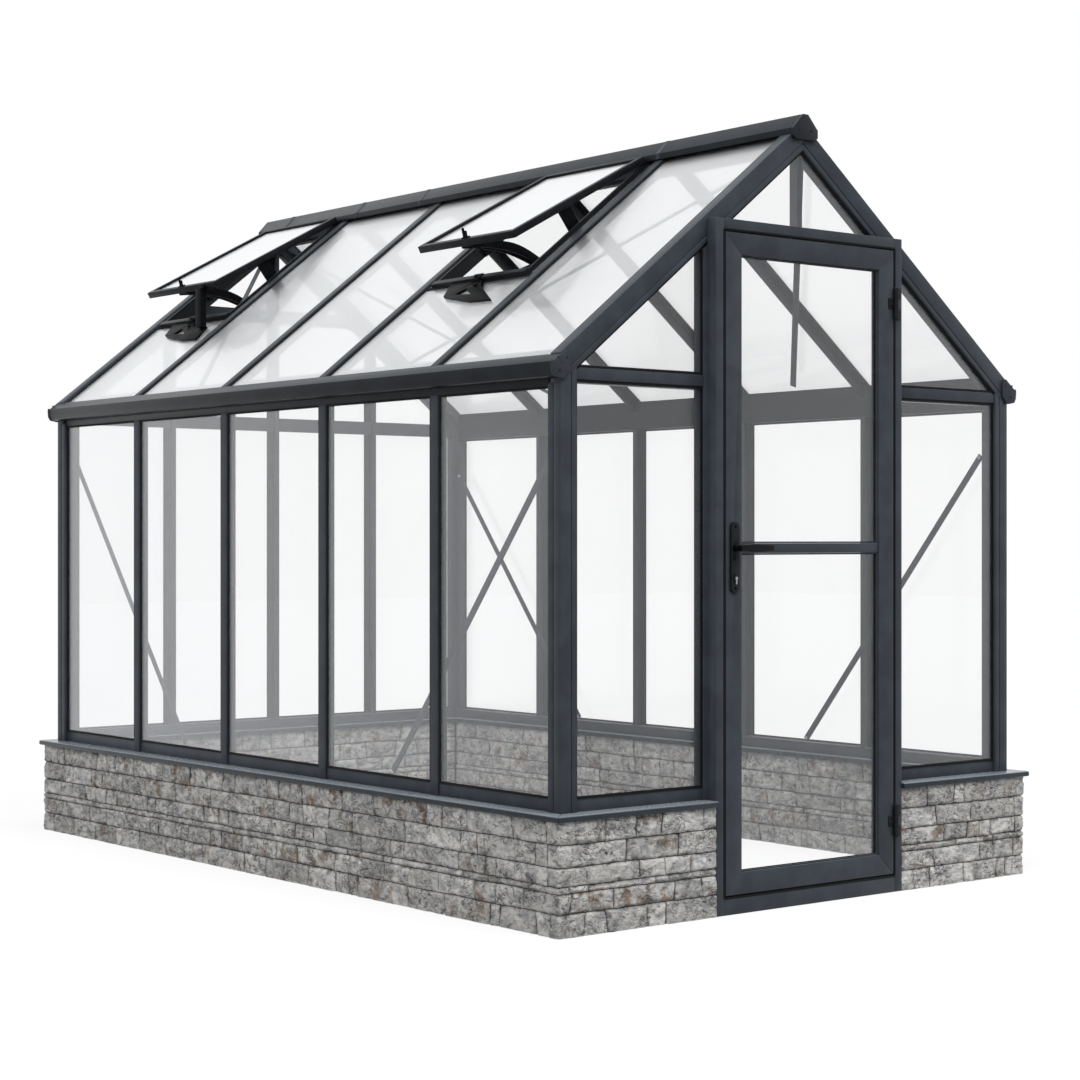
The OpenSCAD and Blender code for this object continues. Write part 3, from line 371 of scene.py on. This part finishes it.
def set_piece(obj, name, material, body="house"):
    """Names a finished piece, gives it its finish and lets it ride on a body."""
    obj.name = name
    obj.data.name = name
    obj.data.materials.clear()
    obj.data.materials.append(material)
    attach(obj, body)


def copy_of(name):
    """A merged copy of a CAD part, with its flat faces made whole."""
    obj = bpy.data.objects.new(name + "_copy", nodes[name].data.copy())
    bpy.context.scene.collection.objects.link(obj)
    edit_all(obj)
    bpy.ops.mesh.remove_doubles(threshold=0.01 * MM)
    bpy.ops.mesh.dissolve_limited(angle_limit=math.radians(0.5))
    close_edit()
    return obj


def solids_of(name):
    """Lowest and highest corner of each separate solid of a CAD part, in order along x, y and z."""
    mesh = nodes[name].data
    points = [tuple(round(c, 5) for c in vertex.co) for vertex in mesh.vertices]
    group = {point: point for point in points}

    def first_of(point):
        while group[point] != point:
            point = group[point]
        return point

    for face in mesh.polygons:
        head = first_of(points[face.vertices[0]])
        for index in face.vertices[1:]:
            group[first_of(points[index])] = head
    solids = {}
    for point in group:
        solids.setdefault(first_of(point), []).append(point)
    boxes = [(Vector(map(min, zip(*found))), Vector(map(max, zip(*found)))) for found in solids.values()]
    return sorted(boxes, key=lambda box: tuple(box[0]))


# ---------- stone walls ----------

# Courses from the ground up and the lengths of short, middling and long stones, in mm
COURSES = (65, 59, 20, 54, 65, 67)
THIN_COURSE = 30
STONE_LENGTHS = ((45, 85), (95, 170), (180, 290))
# No upright joint lies within QUOIN of an outer corner: a stone turns it, with a leg of QUOIN_LEG mm
QUOIN, QUOIN_LEG = 38 * MM, (42, 70)
END_STONE = 45 * MM
LEAN = 0.16
# Joints between the stones, the radius of the wall's corners and the size of the mesh's cells
JOINT, JOINT_DEPTH, JOINT_MARGIN = 3 * MM, 10 * MM, 12 * MM
CORNER_R = 7 * MM
CELL = 5.2 * MM
# How far a stone stands in or out in mm, how the bed joints wander, and the relief of a split face
LIFT = (-2.6, 1.6)
WANDER, WANDER_LENGTH = 2.6 * MM, 170 * MM
LEDGE, LEDGE_SIZE, LEDGE_SLOPE = 2.0 * MM, 62 * MM, 0.35
GRAIN, GRAIN_SIZE = 2.3 * MM, 26 * MM
CHIP, CHIP_DEPTH = 10 * MM, 4.2 * MM
DEEPEST, PROUDEST = -8 * MM, 3.2 * MM

left_low, left_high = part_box("wall_left")
back_low, back_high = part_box("wall_back")
wall_out_x, wall_out_y = -left_low.x, back_high.y
wall_in_x, wall_in_y = -left_high.x, back_low.y
wall_top = left_high.z
door_edge = -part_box("wall_front_left")[1].x
LEVELS = [wall_top * sum(COURSES[:k]) / sum(COURSES) for k in range(len(COURSES) + 1)]


def outline(x, y):
    """Corners of the wall seen from above, from the left of the door round to its right."""
    return [Vector(p) for p in ((-door_edge, -y), (-x, -y), (-x, y), (x, y), (x, -y), (door_edge, -y))]


def course_rows():
    """Heights of the mesh rows: (height, course number, or None in a joint), from the ground up."""
    rows = []
    last = len(COURSES) - 1
    for number, (low, high) in enumerate(zip(LEVELS, LEVELS[1:])):
        low_edge = low + (JOINT / 2 if number else 0)
        high_edge = high - (JOINT / 2 if number < last else 0)
        steps = max(2, round((high_edge - low_edge) / CELL))
        rows += [(low_edge + (high_edge - low_edge) * i / steps, number) for i in range(steps + 1)]
        if number < last:
            rows.append((high, None))
    return rows


def stops_along(corners):
    """Distances of the wall's corners from its start, measured round the outline."""
    stops = [0.0]
    for a, b in zip(corners, corners[1:]):
        stops.append(stops[-1] + (b - a).length)
    return stops


def lay_course(corners, rng, thin, wrap):
    """Upright joints of one course, each as its distance round the outline and its lean. Stones
    wrap round the outer corners and stop at the inner ones."""
    stops = stops_along(corners)
    joints, u = [], 0.0
    while True:
        short, middling, long = [rng.uniform(*lengths) for lengths in STONE_LENGTHS]
        u += (long if thin else rng.choice((short, middling, middling, long))) * MM
        for stop in stops[1:-1]:
            if wrap and abs(u - stop) < QUOIN:
                u = stop + rng.uniform(*QUOIN_LEG) * MM
        if u > stops[-1] - END_STONE:
            break
        joints.append((u, rng.uniform(-LEAN, LEAN)))
    if not wrap:
        joints = [j for j in joints if all(abs(j[0] - stop) > END_STONE for stop in stops[1:-1])]
        joints = sorted(joints + [(stop, 0.0) for stop in stops[1:-1]])
    return joints


ROWS = course_rows()
outer_corners = outline(wall_out_x, wall_out_y)
inner_corners = outline(wall_in_x, wall_in_y)
COLUMNS = [round((b - a).length / CELL) for a, b in zip(outer_corners, outer_corners[1:])]
mason = random.Random(41)
outer_courses = [lay_course(outer_corners, mason, height < THIN_COURSE, True) for height in COURSES]
inner_courses = [lay_course(inner_corners, mason, height < THIN_COURSE, False) for height in COURSES]
traits = {}


def traits_of(key):
    """Tone, stain, stand and own place in the stone pattern of one stone. Few stones are much
    stained, so the stain is a random number raised to a power."""
    if key not in traits:
        rng = random.Random(str(key))
        traits[key] = (rng.random(), rng.random() ** 1.6, rng.uniform(*LIFT) * MM,
                       Vector((rng.uniform(0, 50), rng.uniform(0, 50), rng.uniform(0, 50))))
    return traits[key]


def wave(level, u):
    """How far a bed joint wanders up or down at a distance round the outline."""
    if level in (0, len(COURSES)):
        return 0.0
    return WANDER * noise.noise(Vector((u / WANDER_LENGTH, level * 7.3, 0.0)))


def wandered(z, course, u):
    """A row's height with the wander of the bed joints under and over it."""
    if course is None:
        return z + wave(min(range(len(LEVELS)), key=lambda k: abs(LEVELS[k] - z)), u)
    share = (z - LEVELS[course]) / (LEVELS[course + 1] - LEVELS[course])
    return z + wave(course, u) * (1 - share) + wave(course + 1, u) * share


def split_face(spot, lift, shift, to_edge):
    """How far a split face stands out: stepped beds, broken grain and chipped arrises."""
    moved = spot + shift
    bed = 1.7 * noise.fractal(Vector((moved.x, moved.y, moved.z * 1.7)) / LEDGE_SIZE, 0.9, 2.0, 3)
    ledge = math.floor(bed) + min(1.0, (bed - math.floor(bed)) / LEDGE_SLOPE)
    grain = noise.fractal(moved / GRAIN_SIZE, 0.8, 2.1, 3)
    chip = max(0.0, 1 - to_edge / CHIP) ** 2
    return max(DEEPEST, min(PROUDEST, lift + LEDGE * ledge + GRAIN * grain - CHIP_DEPTH * chip))


def spaced(start, end, columns, joints):
    """Distances of the points of one row, and the numbers of those that lie in an upright joint.
    Each joint has a point in its middle and one on each side."""
    marks = {0: start, columns: end}
    marks.update({round((u - start) / (end - start) * columns): u for u in joints})
    keys = sorted(marks)
    distances = [marks.get(k, 0.0) for k in range(columns + 1)]
    for i, j in zip(keys, keys[1:]):
        low = marks[i] + (JOINT / 2 if i else 0)
        high = marks[j] - (JOINT / 2 if j != columns else 0)
        first, last = (i + 1 if i else i), (j - 1 if j != columns else j)
        for k in range(first, last + 1):
            distances[k] = low + (high - low) * (k - first) / max(1, last - first)
    return distances, keys[1:-1]


def skin_points(corners, segment, inner, courses):
    """One face of one wall: rows of points, each with its tone, stain and share of dark joint and
    painted shade.
    """
    stops = stops_along(corners)
    start, end = stops[segment], stops[segment + 1]
    a, b = corners[segment], corners[segment + 1]
    along = (b - a).normalized()
    out = Vector((along.y, -along.x)) if inner else Vector((-along.y, along.x))
    columns, last_corner = COLUMNS[segment], len(corners) - 1

    def seated(u):
        """Where a point of the face lies in plan and the way that it faces. The outer corners are
        rounded, and at the inner ones the two faces meet."""
        seat, facing = a + along * (u - start), out
        for distance, sign, at in ((u - start, -1, segment), (end - u, 1, segment + 1)):
            if not 0 < at < last_corner or distance > CORNER_R:
                continue
            if not inner:
                turn = math.radians(45) * (1 - distance / CORNER_R)
                facing = out * math.cos(turn) + along * sign * math.sin(turn)
                seat = corners[at] - (out + along * sign) * CORNER_R + facing * CORNER_R
            elif distance < 1e-6:
                facing = out - along * sign
        return seat, facing

    result = []
    for z, course in ROWS:
        low, high = (LEVELS[course], LEVELS[course + 1]) if course is not None else (z, z)
        middle = (low + high) / 2
        laid = [u + lean * (z - middle) for u, lean in courses[course]] if course is not None else []
        here = [u for u in laid if start + JOINT_MARGIN < u < end - JOINT_MARGIN]
        distances, in_joints = spaced(start, end, columns, here)
        row = []
        for k, u in enumerate(distances):
            in_joint = course is None or k in in_joints
            in_joint = in_joint or (inner and k in (0, columns)
                                    and 0 < segment + (k == columns) < last_corner)
            seat, facing = seated(u)
            stone_id = bisect.bisect_right(laid, u + 1e-6)
            tone, stain, lift, shift = traits_of((course, stone_id, inner))
            height = wandered(z, course, u)
            spot = Vector((seat.x, seat.y, height))
            if in_joint:
                depth = -JOINT_DEPTH + 2.0 * MM * noise.noise(spot / (20 * MM))
                dark = 1.0
            else:
                near = [abs(u - laid[i]) for i in (stone_id - 1, stone_id) if 0 <= i < len(laid)]
                near += [z - low] if course else []
                near += [high - z] if course < len(COURSES) - 1 else []
                to_edge = max(0.0, min(near, default=1.0) - JOINT / 2)
                depth = split_face(spot, lift, shift, to_edge)
                # Painted shade in the hollows, and a little on the arris beside a joint
                hollow_shade = min(0.55, (-depth - 2.5 * MM) / (7 * MM))
                dark = max(0.15 if to_edge < 1e-4 else 0.0, hollow_shade)
            point = seat + facing * depth
            row.append(((point.x, point.y, height), tone, stain, dark))
        result.append(row)
    return result


def grid_skin(points, name):
    """A mesh grid whose points are laid on the given rows."""
    bpy.ops.mesh.primitive_grid_add(x_subdivisions=len(points[0]) - 1,
                                    y_subdivisions=len(points) - 1, size=1)
    skin = bpy.context.object
    skin.name = name
    flat = [entry for row in points for entry in row]
    skin.data.vertices.foreach_set("co", [c for entry in flat for c in entry[0]])
    for number, attribute in enumerate(("stone_tone", "stone_stain", "stone_joint_and_shade"), 1):
        values = skin.data.attributes.new(attribute, "FLOAT", "POINT")
        values.data.foreach_set("value", [entry[number] for entry in flat])
    skin.data.update()
    return skin


def stone_wall(segment, name, node):
    """A stretch of wall: its two split faces, bridged round their edges."""
    outer = grid_skin(skin_points(outer_corners, segment, False, outer_courses), "outer_face")
    inner = grid_skin(skin_points(inner_corners, segment, True, inner_courses), "inner_face")
    wall = joined([outer, inner])
    bpy.ops.object.mode_set(mode="EDIT")
    bpy.ops.mesh.select_mode(type="EDGE")
    bpy.ops.mesh.select_all(action="DESELECT")
    bpy.ops.mesh.select_non_manifold()
    bpy.ops.mesh.bridge_edge_loops()
    bpy.ops.mesh.select_all(action="SELECT")
    bpy.ops.mesh.normals_make_consistent(inside=False)
    close_edit()
    smoothed(wall, 28)
    set_piece(wall, name, stone)
    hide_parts(node)


for segment, name, node in (
        (0, "stonework_front_left", "wall_front_left"), (1, "stonework_left", "wall_left"),
        (2, "stonework_back", "wall_back"), (3, "stonework_right", "wall_right"),
        (4, "stonework_front_right", "wall_front_right")):
    stone_wall(segment, name, node)


# ---------- metalwork ----------

# Radius of the sharp edges of each part, in mm, as extruding, sawing or moulding leaves them. The
# larger radii get more segments.
EASED_EDGES = {
    "sill_left": 6.0, "sill_right": 6.0, "sill_back": 6.0, "sill_front": 6.0,
    "corner_posts": 1.2, "front_rafters": 1.2, "back_rafters": 1.2, "base_rails": 1.0,
    "side_bars": 0.8, "roof_bars": 0.8, "front_gable_bars": 0.8, "back_posts": 0.8,
    "back_gable_bars": 0.8, "gutters": 0.8, "gutter_end_caps": 1.6, "ridge_beam": 1.0, "ridge_cap": 1.4,
    "door_posts": 1.0, "door_jambs": 1.5, "door_head": 1.5, "door_threshold": 1.5,
    "door_stiles": 1.5, "door_rails": 1.2, "vent_frames": 1.5, "vent_rails": 0.6, "vent_openers": 0.6,
    "wall_braces": 0.6, "roof_braces": 0.6, "handle_plates": 2.0, "door_levers": 3.2,
    "frame_hinges": 0.5, "door_hinges": 0.5,
}


def eased(name, radius, segments):
    """A CAD part with its sharp edges rounded."""
    piece = copy_of(name)
    finish = nodes[name].material_slots[0].material
    bevelled(piece, radius, segments, 32, use_clamp_overlap=True, loop_slide=False)
    edit_all(piece)
    bpy.ops.mesh.dissolve_degenerate(threshold=0.01 * MM)
    close_edit()
    smoothed(piece, 38)
    set_piece(piece, name + "_eased", finish, body_of_node[name])
    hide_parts(name)


for name, radius in EASED_EDGES.items():
    eased(name, radius * MM, 4 if radius > 4 else 3 if radius >= 2 else 2)


# ---------- seals and glazing beads ----------

def between(corners, axis, low, high):
    """The part of an outline between two limits along an axis."""
    for limit, keep in ((low, 1), (high, -1)):
        kept = []
        for a, b in zip(corners, corners[1:] + corners[:1]):
            inside_a, inside_b = (a[axis] - limit) * keep >= -1e-6, (b[axis] - limit) * keep >= -1e-6
            if inside_a:
                kept.append(a)
            if inside_a != inside_b:
                kept.append(a.lerp(b, (limit - a[axis]) / (b[axis] - a[axis])))
        corners = kept
    return [c for i, c in enumerate(corners) if (c - corners[i - 1]).length > 0.01 * MM]


def pane_windows(name, facing, caps=(), axis=0):
    """Outlines of the outer faces of a part's panes, less what the caps of its bars cover."""
    panes = copy_of(name)
    windows = []
    for face in panes.data.polygons:
        if face.normal.dot(facing) < 0.99:
            continue
        corners = [panes.data.vertices[i].co.copy() for i in face.vertices]
        low = min(c[axis] for c in corners)
        high = max(c[axis] for c in corners)
        for cap_low, cap_high in caps:
            low = cap_high[axis] if cap_low[axis] < low < cap_high[axis] else low
            high = cap_low[axis] if cap_low[axis] < high < cap_high[axis] else high
        windows.append(between(corners, axis, low, high))
    bpy.data.objects.remove(panes)
    return windows


def rings(name, windows, inset, width, rise, material, slot, body="house", edge=0.4 * MM):
    """Raised frames of one width, set a little inside each outline."""
    parts = []
    for corners in windows:
        bpy.ops.mesh.primitive_circle_add(vertices=len(corners), radius=1, fill_type="NGON")
        part = bpy.context.object
        part.data.vertices.foreach_set("co", [c for corner in corners for c in corner])
        parts.append(part)
    ring = joined(parts)
    edit_all(ring)
    bpy.ops.mesh.select_mode(type="FACE")
    if inset:
        bpy.ops.mesh.inset(thickness=inset, use_individual=True)
        bpy.ops.mesh.select_all(action="INVERT")
        bpy.ops.mesh.delete(type="FACE")
        bpy.ops.mesh.select_all(action="SELECT")
    bpy.ops.mesh.inset(thickness=width, use_individual=True)
    bpy.ops.mesh.delete(type="FACE")
    close_edit()
    modified(ring, "SOLIDIFY", thickness=rise, offset=1.0)
    bevelled(ring, edge)
    smoothed(ring, 38)
    set_piece(ring, name, material, body)


def steepest(name, side):
    """The outward direction of a sloping part on one side of the ridge."""
    return next(face.normal.copy() for face in nodes[name].data.polygons
                if face.normal.z > 0.5 and face.normal.x * side > 0.3)


# Width and rise of each seal and bead. The door's beads leave a small gap to the leaf.
# The glazing seals are real rubber, drawn 7 mm wide so that their black also stands in for the shade
# beside each bar
SEAL_AND_SHADE, VENT_SEAL, DOOR_SEAL = (7 * MM, 3.5 * MM), (4 * MM, 2.5 * MM), (1.8 * MM, 2 * MM)
BEAD, BEAD_GAP, BEAD_EDGE = (3 * MM, 8 * MM), 0.3 * MM, 0.8 * MM
rail_top, eaves_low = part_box("base_rails")[1].z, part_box("gutters")[0].z
side_caps, roof_caps = solids_of("side_bars"), solids_of("roof_bars")

# Black seals on the walls, roof and gables: partly painted shade beside the bars
wall_windows = [between(corners, 2, rail_top, eaves_low)
                for name, side in (("glass_left", -X), ("glass_right", X))
                for corners in pane_windows(name, side, side_caps, 1)]
rings("wall_seals_and_shade", wall_windows, 0, *SEAL_AND_SHADE, rubber, "black_plastic")

roof_windows = [corners for name, side in (("roof_glass_left", -1), ("roof_glass_right", 1))
                for corners in pane_windows(name, steepest(name, side), roof_caps, 1)]
rings("roof_seals_and_shade", roof_windows, 0, *SEAL_AND_SHADE, rubber, "black_plastic")

gable_windows = pane_windows("front_glass", -Y)
gable_windows += pane_windows("back_glass", Y, solids_of("back_posts"), 0)
rings("gable_seals_and_shade", gable_windows, 0, *SEAL_AND_SHADE, rubber, "black_plastic")

vent_windows = pane_windows("vent_glass", steepest("vent_glass", -1))
rings("vent_seals", vent_windows, 0, *VENT_SEAL, rubber, "black_plastic")

outside, inside = pane_windows("door_glass", -Y), pane_windows("door_glass", Y)
for name, windows in (("door_beads_outside", outside), ("door_beads_inside", inside)):
    rings(name, windows, BEAD_GAP, *BEAD, anthracite, "frame_metal", "door", BEAD_EDGE)
rings("door_seals", outside + inside, BEAD_GAP + BEAD[0], *DOOR_SEAL, rubber, "black_plastic", "door")


# ---------- seals round the door leaf ----------

# The seals lie behind the leaf's outer face and clear of the hinges. The frame's has a lip that
# stands a little in front of it: black rubber that also stands in for the shade in the gap round the
# leaf.
SEAL_IN, SEAL_BACK = 0.3 * MM, 3.0 * MM
HINGE_CLEAR = 4 * MM
LEAF_SEAL_T, FRAME_SEAL_T = 1.2 * MM, 2.5 * MM
LIP_W, LIP_PROUD = 3.5 * MM, 0.8 * MM

leaf_low, leaf_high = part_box("door_stiles")
left_jamb, right_jamb = solids_of("door_jambs")
opening_x = (left_jamb[1].x, right_jamb[0].x)
opening_z = (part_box("door_threshold")[1].z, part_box("door_head")[0].z)
seal_y = (leaf_low.y + SEAL_IN, leaf_high.y - SEAL_BACK)
lip_y = (leaf_low.y - LIP_PROUD, leaf_low.y + SEAL_IN)


def round_edge(x, z, y, thick, way):
    """Corners of the strips along a rectangle's four sides, on its outside (way 1) or its inside
    (way -1). The side at the hinges has a gap at each of them."""
    gaps = [(low.z - HINGE_CLEAR, high.z + HINGE_CLEAR) for low, high in solids_of("frame_hinges")]
    stops = sorted([z[0], z[1]] + [value for gap in gaps for value in gap])
    step = thick * way
    lock_x = sorted((x[0] - step, x[0]))
    hinge_x = sorted((x[1], x[1] + step))
    found = [((lock_x[0], y[0], z[0]), (lock_x[1], y[1], z[1]))]
    for low_z, high_z in zip(stops[::2], stops[1::2]):
        found.append(((hinge_x[0], y[0], low_z), (hinge_x[1], y[1], high_z)))
    ends = (x[0] + thick, x[1] - thick) if way < 0 else x
    for level, side in ((z[0], -step), (z[1], step)):
        low_z, high_z = sorted((level, level + side))
        found.append(((ends[0], y[0], low_z), (ends[1], y[1], high_z)))
    return found


def strips(name, boxes, body="house"):
    """Straight rubber strips with eased edges, one for each pair of corners."""
    ends = [(Vector(low), Vector(high)) for low, high in boxes]
    strip = joined([block((low + high) / 2, high - low) for low, high in ends])
    bevelled(strip, 0.4 * MM)
    smoothed(strip, 38)
    set_piece(strip, name, rubber, body)


strips("leaf_edge_seals", round_edge((leaf_low.x, leaf_high.x), (leaf_low.z, leaf_high.z), seal_y,
                                     LEAF_SEAL_T, 1), "door")
# The frame's seals and lip: black rubber, partly standing in for the shade in the gap round the leaf
strips("frame_edge_seals_and_shade", round_edge(opening_x, opening_z, seal_y, FRAME_SEAL_T, -1)
       + round_edge(opening_x, opening_z, lip_y, LIP_W, 1))


# ---------- ridge cap joints ----------

# A strap lies over each joint of the cap: a slice of the cap made a little wider and lifted. The
# shares give the joints' places along the cap, measured from its front end.
STRAP_SHARES = (0.9384, 0.7726, 0.6348, 0.2)
STRAP_HALF = 9 * MM
STRAP_FIT = Matrix.Translation((0, 0, 1.0 * MM)) @ Matrix.Diagonal((1.018, 1, 1, 1))

front_cap, long_cap, back_cap = solids_of("ridge_cap")
for share in STRAP_SHARES:
    y = long_cap[0].y + (long_cap[1].y - long_cap[0].y) * share
    strap = copy_of("ridge_cap")
    for at, way in ((y - STRAP_HALF, -1), (y + STRAP_HALF, 1)):
        edit_all(strap)
        bpy.ops.mesh.bisect(plane_co=(0, at, 0), plane_no=(0, way, 0), use_fill=True, clear_outer=True)
        close_edit()
    strap.data.transform(STRAP_FIT)
    bevelled(strap, 0.5 * MM, 2, 32)
    set_piece(strap, f"ridge_cap_strap_{round(share * 100)}", anthracite)


# ---------- fasteners ----------

def screw_head(radius):
    """A button head with a socket, standing up from the origin."""
    bpy.ops.mesh.primitive_cylinder_add(vertices=18, radius=radius, depth=radius * 0.7,
                                        location=(0, 0, radius * 0.35))
    head = bpy.context.object
    bpy.ops.object.transform_apply(location=True, rotation=True, scale=True)
    edit_top(head)
    bpy.ops.mesh.bevel(offset=radius * 0.35, segments=3, affect="EDGES")
    close_edit()
    edit_top(head)
    bpy.ops.mesh.inset(thickness=radius * 0.22)
    bpy.ops.mesh.inset(thickness=radius * 0.02, depth=-radius * 0.4)
    close_edit()
    smoothed(head, 35)
    return head


def fasteners(name, seats, radius, material, body="house"):
    """Copies of one screw head, each on its seat: a point and the way that it faces."""
    head = screw_head(radius)
    copies = []
    for point, facing in seats:
        one = bpy.data.objects.new("head", head.data.copy())
        bpy.context.scene.collection.objects.link(one)
        turn = facing.to_track_quat("Z", "Y").to_matrix().to_4x4()
        one.data.transform(Matrix.Translation(point) @ turn)
        copies.append(one)
    bpy.data.objects.remove(head)
    set_piece(joined(copies), name, material, body)


def sides_of(low, high):
    """Which side of the ridge (-1 left, 1 right) and which end (-1 front, 1 back) a solid is on."""
    return (1 if high.x > 0 else -1), (1 if high.y > 0 else -1)


# Places of the screws on the end caps, in mm: in from the cap's inner edge and below its top on the
# gutters, and out from the middle and above its foot on the ridge
GUTTER_SCREWS = ((14, -22), (46, -22), (40, -60))
RIDGE_SCREWS = ((-26, 30), (26, 30))
BRACE_BOLT = (14 * MM, 12 * MM)

end_screws = []
for low, high in solids_of("gutter_end_caps"):
    side, way = sides_of(low, high)
    face, inner = (high.y if way > 0 else low.y), (low.x if side > 0 else high.x)
    for across, up in GUTTER_SCREWS:
        end_screws.append((Vector((inner + side * across * MM, face, high.z + up * MM)), Y * way))
for low, face, way in ((front_cap[0], front_cap[0].y, -1), (back_cap[0], back_cap[1].y, 1)):
    for across, up in RIDGE_SCREWS:
        end_screws.append((Vector((across * MM, face, low.z + up * MM)), Y * way))
# The end cap screws take the same darker copy of the coat: painted shade
fasteners("end_cap_screws", end_screws, 3 * MM, shaded_eaves_coat)

brace_ends = []
for low, high in solids_of("wall_braces"):
    side, way = sides_of(low, high)
    inner = low.x if side > 0 else high.x
    outer_y, inner_y = (high.y, low.y) if way > 0 else (low.y, high.y)
    along, up = BRACE_BOLT
    for y, z in ((outer_y - way * along, high.z - up), (inner_y + way * along, low.z + up)):
        brace_ends.append((Vector((inner, y, z)), -X * side))
fasteners("brace_bolts", brace_ends, 7 * MM, steel)


# ---------- screws and locks of the door ----------

# Thickness of the plates and hinge leaves and how far in their screws are, and the place of the
# lock cylinders: above the foot of the plates and behind the tips of their snibs
PLATE_T, PLATE_SCREW_IN = 8 * MM, 14 * MM
HINGE_LEAF_T, HINGE_SCREW_IN = 4 * MM, 11 * MM
CYLINDER_UP, CYLINDER_SINK = 44 * MM, 5.5 * MM

outer_plate, inner_plate = solids_of("handle_plates")
plate_middle = (outer_plate[0].x + outer_plate[1].x) / 2
plate_screws = [(Vector((plate_middle, face, z)), Y * way)
                for (low, high), face, way in ((outer_plate, leaf_low.y - PLATE_T, -1),
                                               (inner_plate, leaf_high.y + PLATE_T, 1))
                for z in (low.z + PLATE_SCREW_IN, high.z - PLATE_SCREW_IN)]
fasteners("plate_screws", plate_screws, 4 * MM, black_steel, "door")


def key_cylinder(x, y, z):
    """A steel lock cylinder in the keyhole's own outline: a round barrel over a narrow tongue."""
    bpy.ops.mesh.primitive_cylinder_add(vertices=24, radius=5 * MM, depth=4 * MM, location=(x, y, z),
                                        rotation=(math.radians(90), 0, 0))
    barrel = bpy.context.object
    bpy.ops.object.transform_apply(location=True, rotation=True, scale=True)
    bevelled(barrel, 0.6 * MM)
    tongue = block((x, y, z - 9 * MM), (5 * MM, 4 * MM, 18 * MM))
    bevelled(tongue, 1.2 * MM, 3)
    return joined([barrel, tongue])


plates_low, plates_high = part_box("handle_plates")
cylinders = [key_cylinder(plate_middle, y, outer_plate[0].z + CYLINDER_UP)
             for y in (plates_low.y + CYLINDER_SINK, plates_high.y - CYLINDER_SINK)]
set_piece(joined(cylinders), "lock_cylinders", steel, "door")

hinge_face = leaf_low.y - HINGE_LEAF_T
frame_screws, leaf_screws = [], []
for low, high in solids_of("frame_hinges"):
    for share in (0.16, 0.84):
        for off in (-8 * MM, 8 * MM):
            z = low.z + (high.z - low.z) * share + off
            frame_screws.append((Vector((high.x - HINGE_SCREW_IN, hinge_face, z)), -Y))
for low, high in solids_of("door_hinges"):
    for share in (0.25, 0.75):
        z = low.z + (high.z - low.z) * share
        leaf_screws.append((Vector((low.x + HINGE_SCREW_IN, hinge_face, z)), -Y))
fasteners("frame_hinge_screws", frame_screws, 3 * MM, black_steel)
fasteners("leaf_hinge_screws", leaf_screws, 3 * MM, black_steel, "door")


# ---------- studio ----------

scene = bpy.context.scene
scene.view_settings.view_transform = "Standard"

# A level camera at the height of a person's chest, in front and to the left
eye = bpy.data.cameras.new("camera")
eye.lens = 76.04
eye.sensor_width = 36
eye.clip_end = 200
camera = bpy.data.objects.new("camera", eye)
scene.collection.objects.link(camera)
camera.location = (-5.116, -6.581, 1.131)
camera.rotation_euler = (math.radians(90), 0, math.radians(-38.9))
scene.camera = camera


def seen(tree):
    """1 for what the camera sees, straight, mirrored or through glass."""
    path = add(tree, "LightPath").node.outputs
    either = {"operation": "MAXIMUM"}
    direct = add(tree, "Math", (path["Is Camera Ray"], path["Is Glossy Ray"]), either)
    return add(tree, "Math", (direct, path["Is Transmission Ray"]), either)


world = bpy.data.worlds.new("studio")
world.use_nodes = True
sky = world.node_tree
sky.nodes.clear()
backdrop = add(sky, "Background", {"Color": "#ffffff", "Strength": 1.0})
ambient = add(sky, "Background", {"Color": "#f4f7fb", "Strength": 0.31})
add(sky, "OutputWorld", (add(sky, "MixShader", (seen(sky), ambient, backdrop)),))
scene.world = world

# The floor is white to the eye, with the shadow on it, and grey to the surfaces that it lights
bpy.ops.mesh.primitive_plane_add(size=60, location=(0, 0, -1 * MM))
floor = bpy.context.object
floor.name = "studio_floor"
floor_paint, tree = blank("floor_paint")
grey = add(tree, "BsdfDiffuse", {"Color": "#a4a4a3"})
matt = add(tree, "BsdfDiffuse", {"Color": "#ffffff"})
light = add(tree, "Emission", {"Color": "#ffffff", "Strength": 1.0})
white = add(tree, "MixShader", (0.85, matt, light))
add(tree, "OutputMaterial", (add(tree, "MixShader", (seen(tree), grey, white)),))
floor.data.materials.append(floor_paint)


def sun(name, azimuth, height, strength, spread_angle):
    """A soft distant lamp, in degrees: azimuth 0 stands in front of the door and grows to the
    right. It isn't mirrored in the glass."""
    lamp = bpy.data.lights.new(name, "SUN")
    lamp.energy = strength
    lamp.angle = math.radians(spread_angle)
    obj = bpy.data.objects.new(name, lamp)
    scene.collection.objects.link(obj)
    obj.visible_glossy = False
    obj.rotation_euler = (math.radians(90 - height), 0, math.radians(azimuth))


sun("key_light", 14, 50, 2.2, 40)
sun("side_light", -70, 38, 1.7, 50)

low, high = cad_box
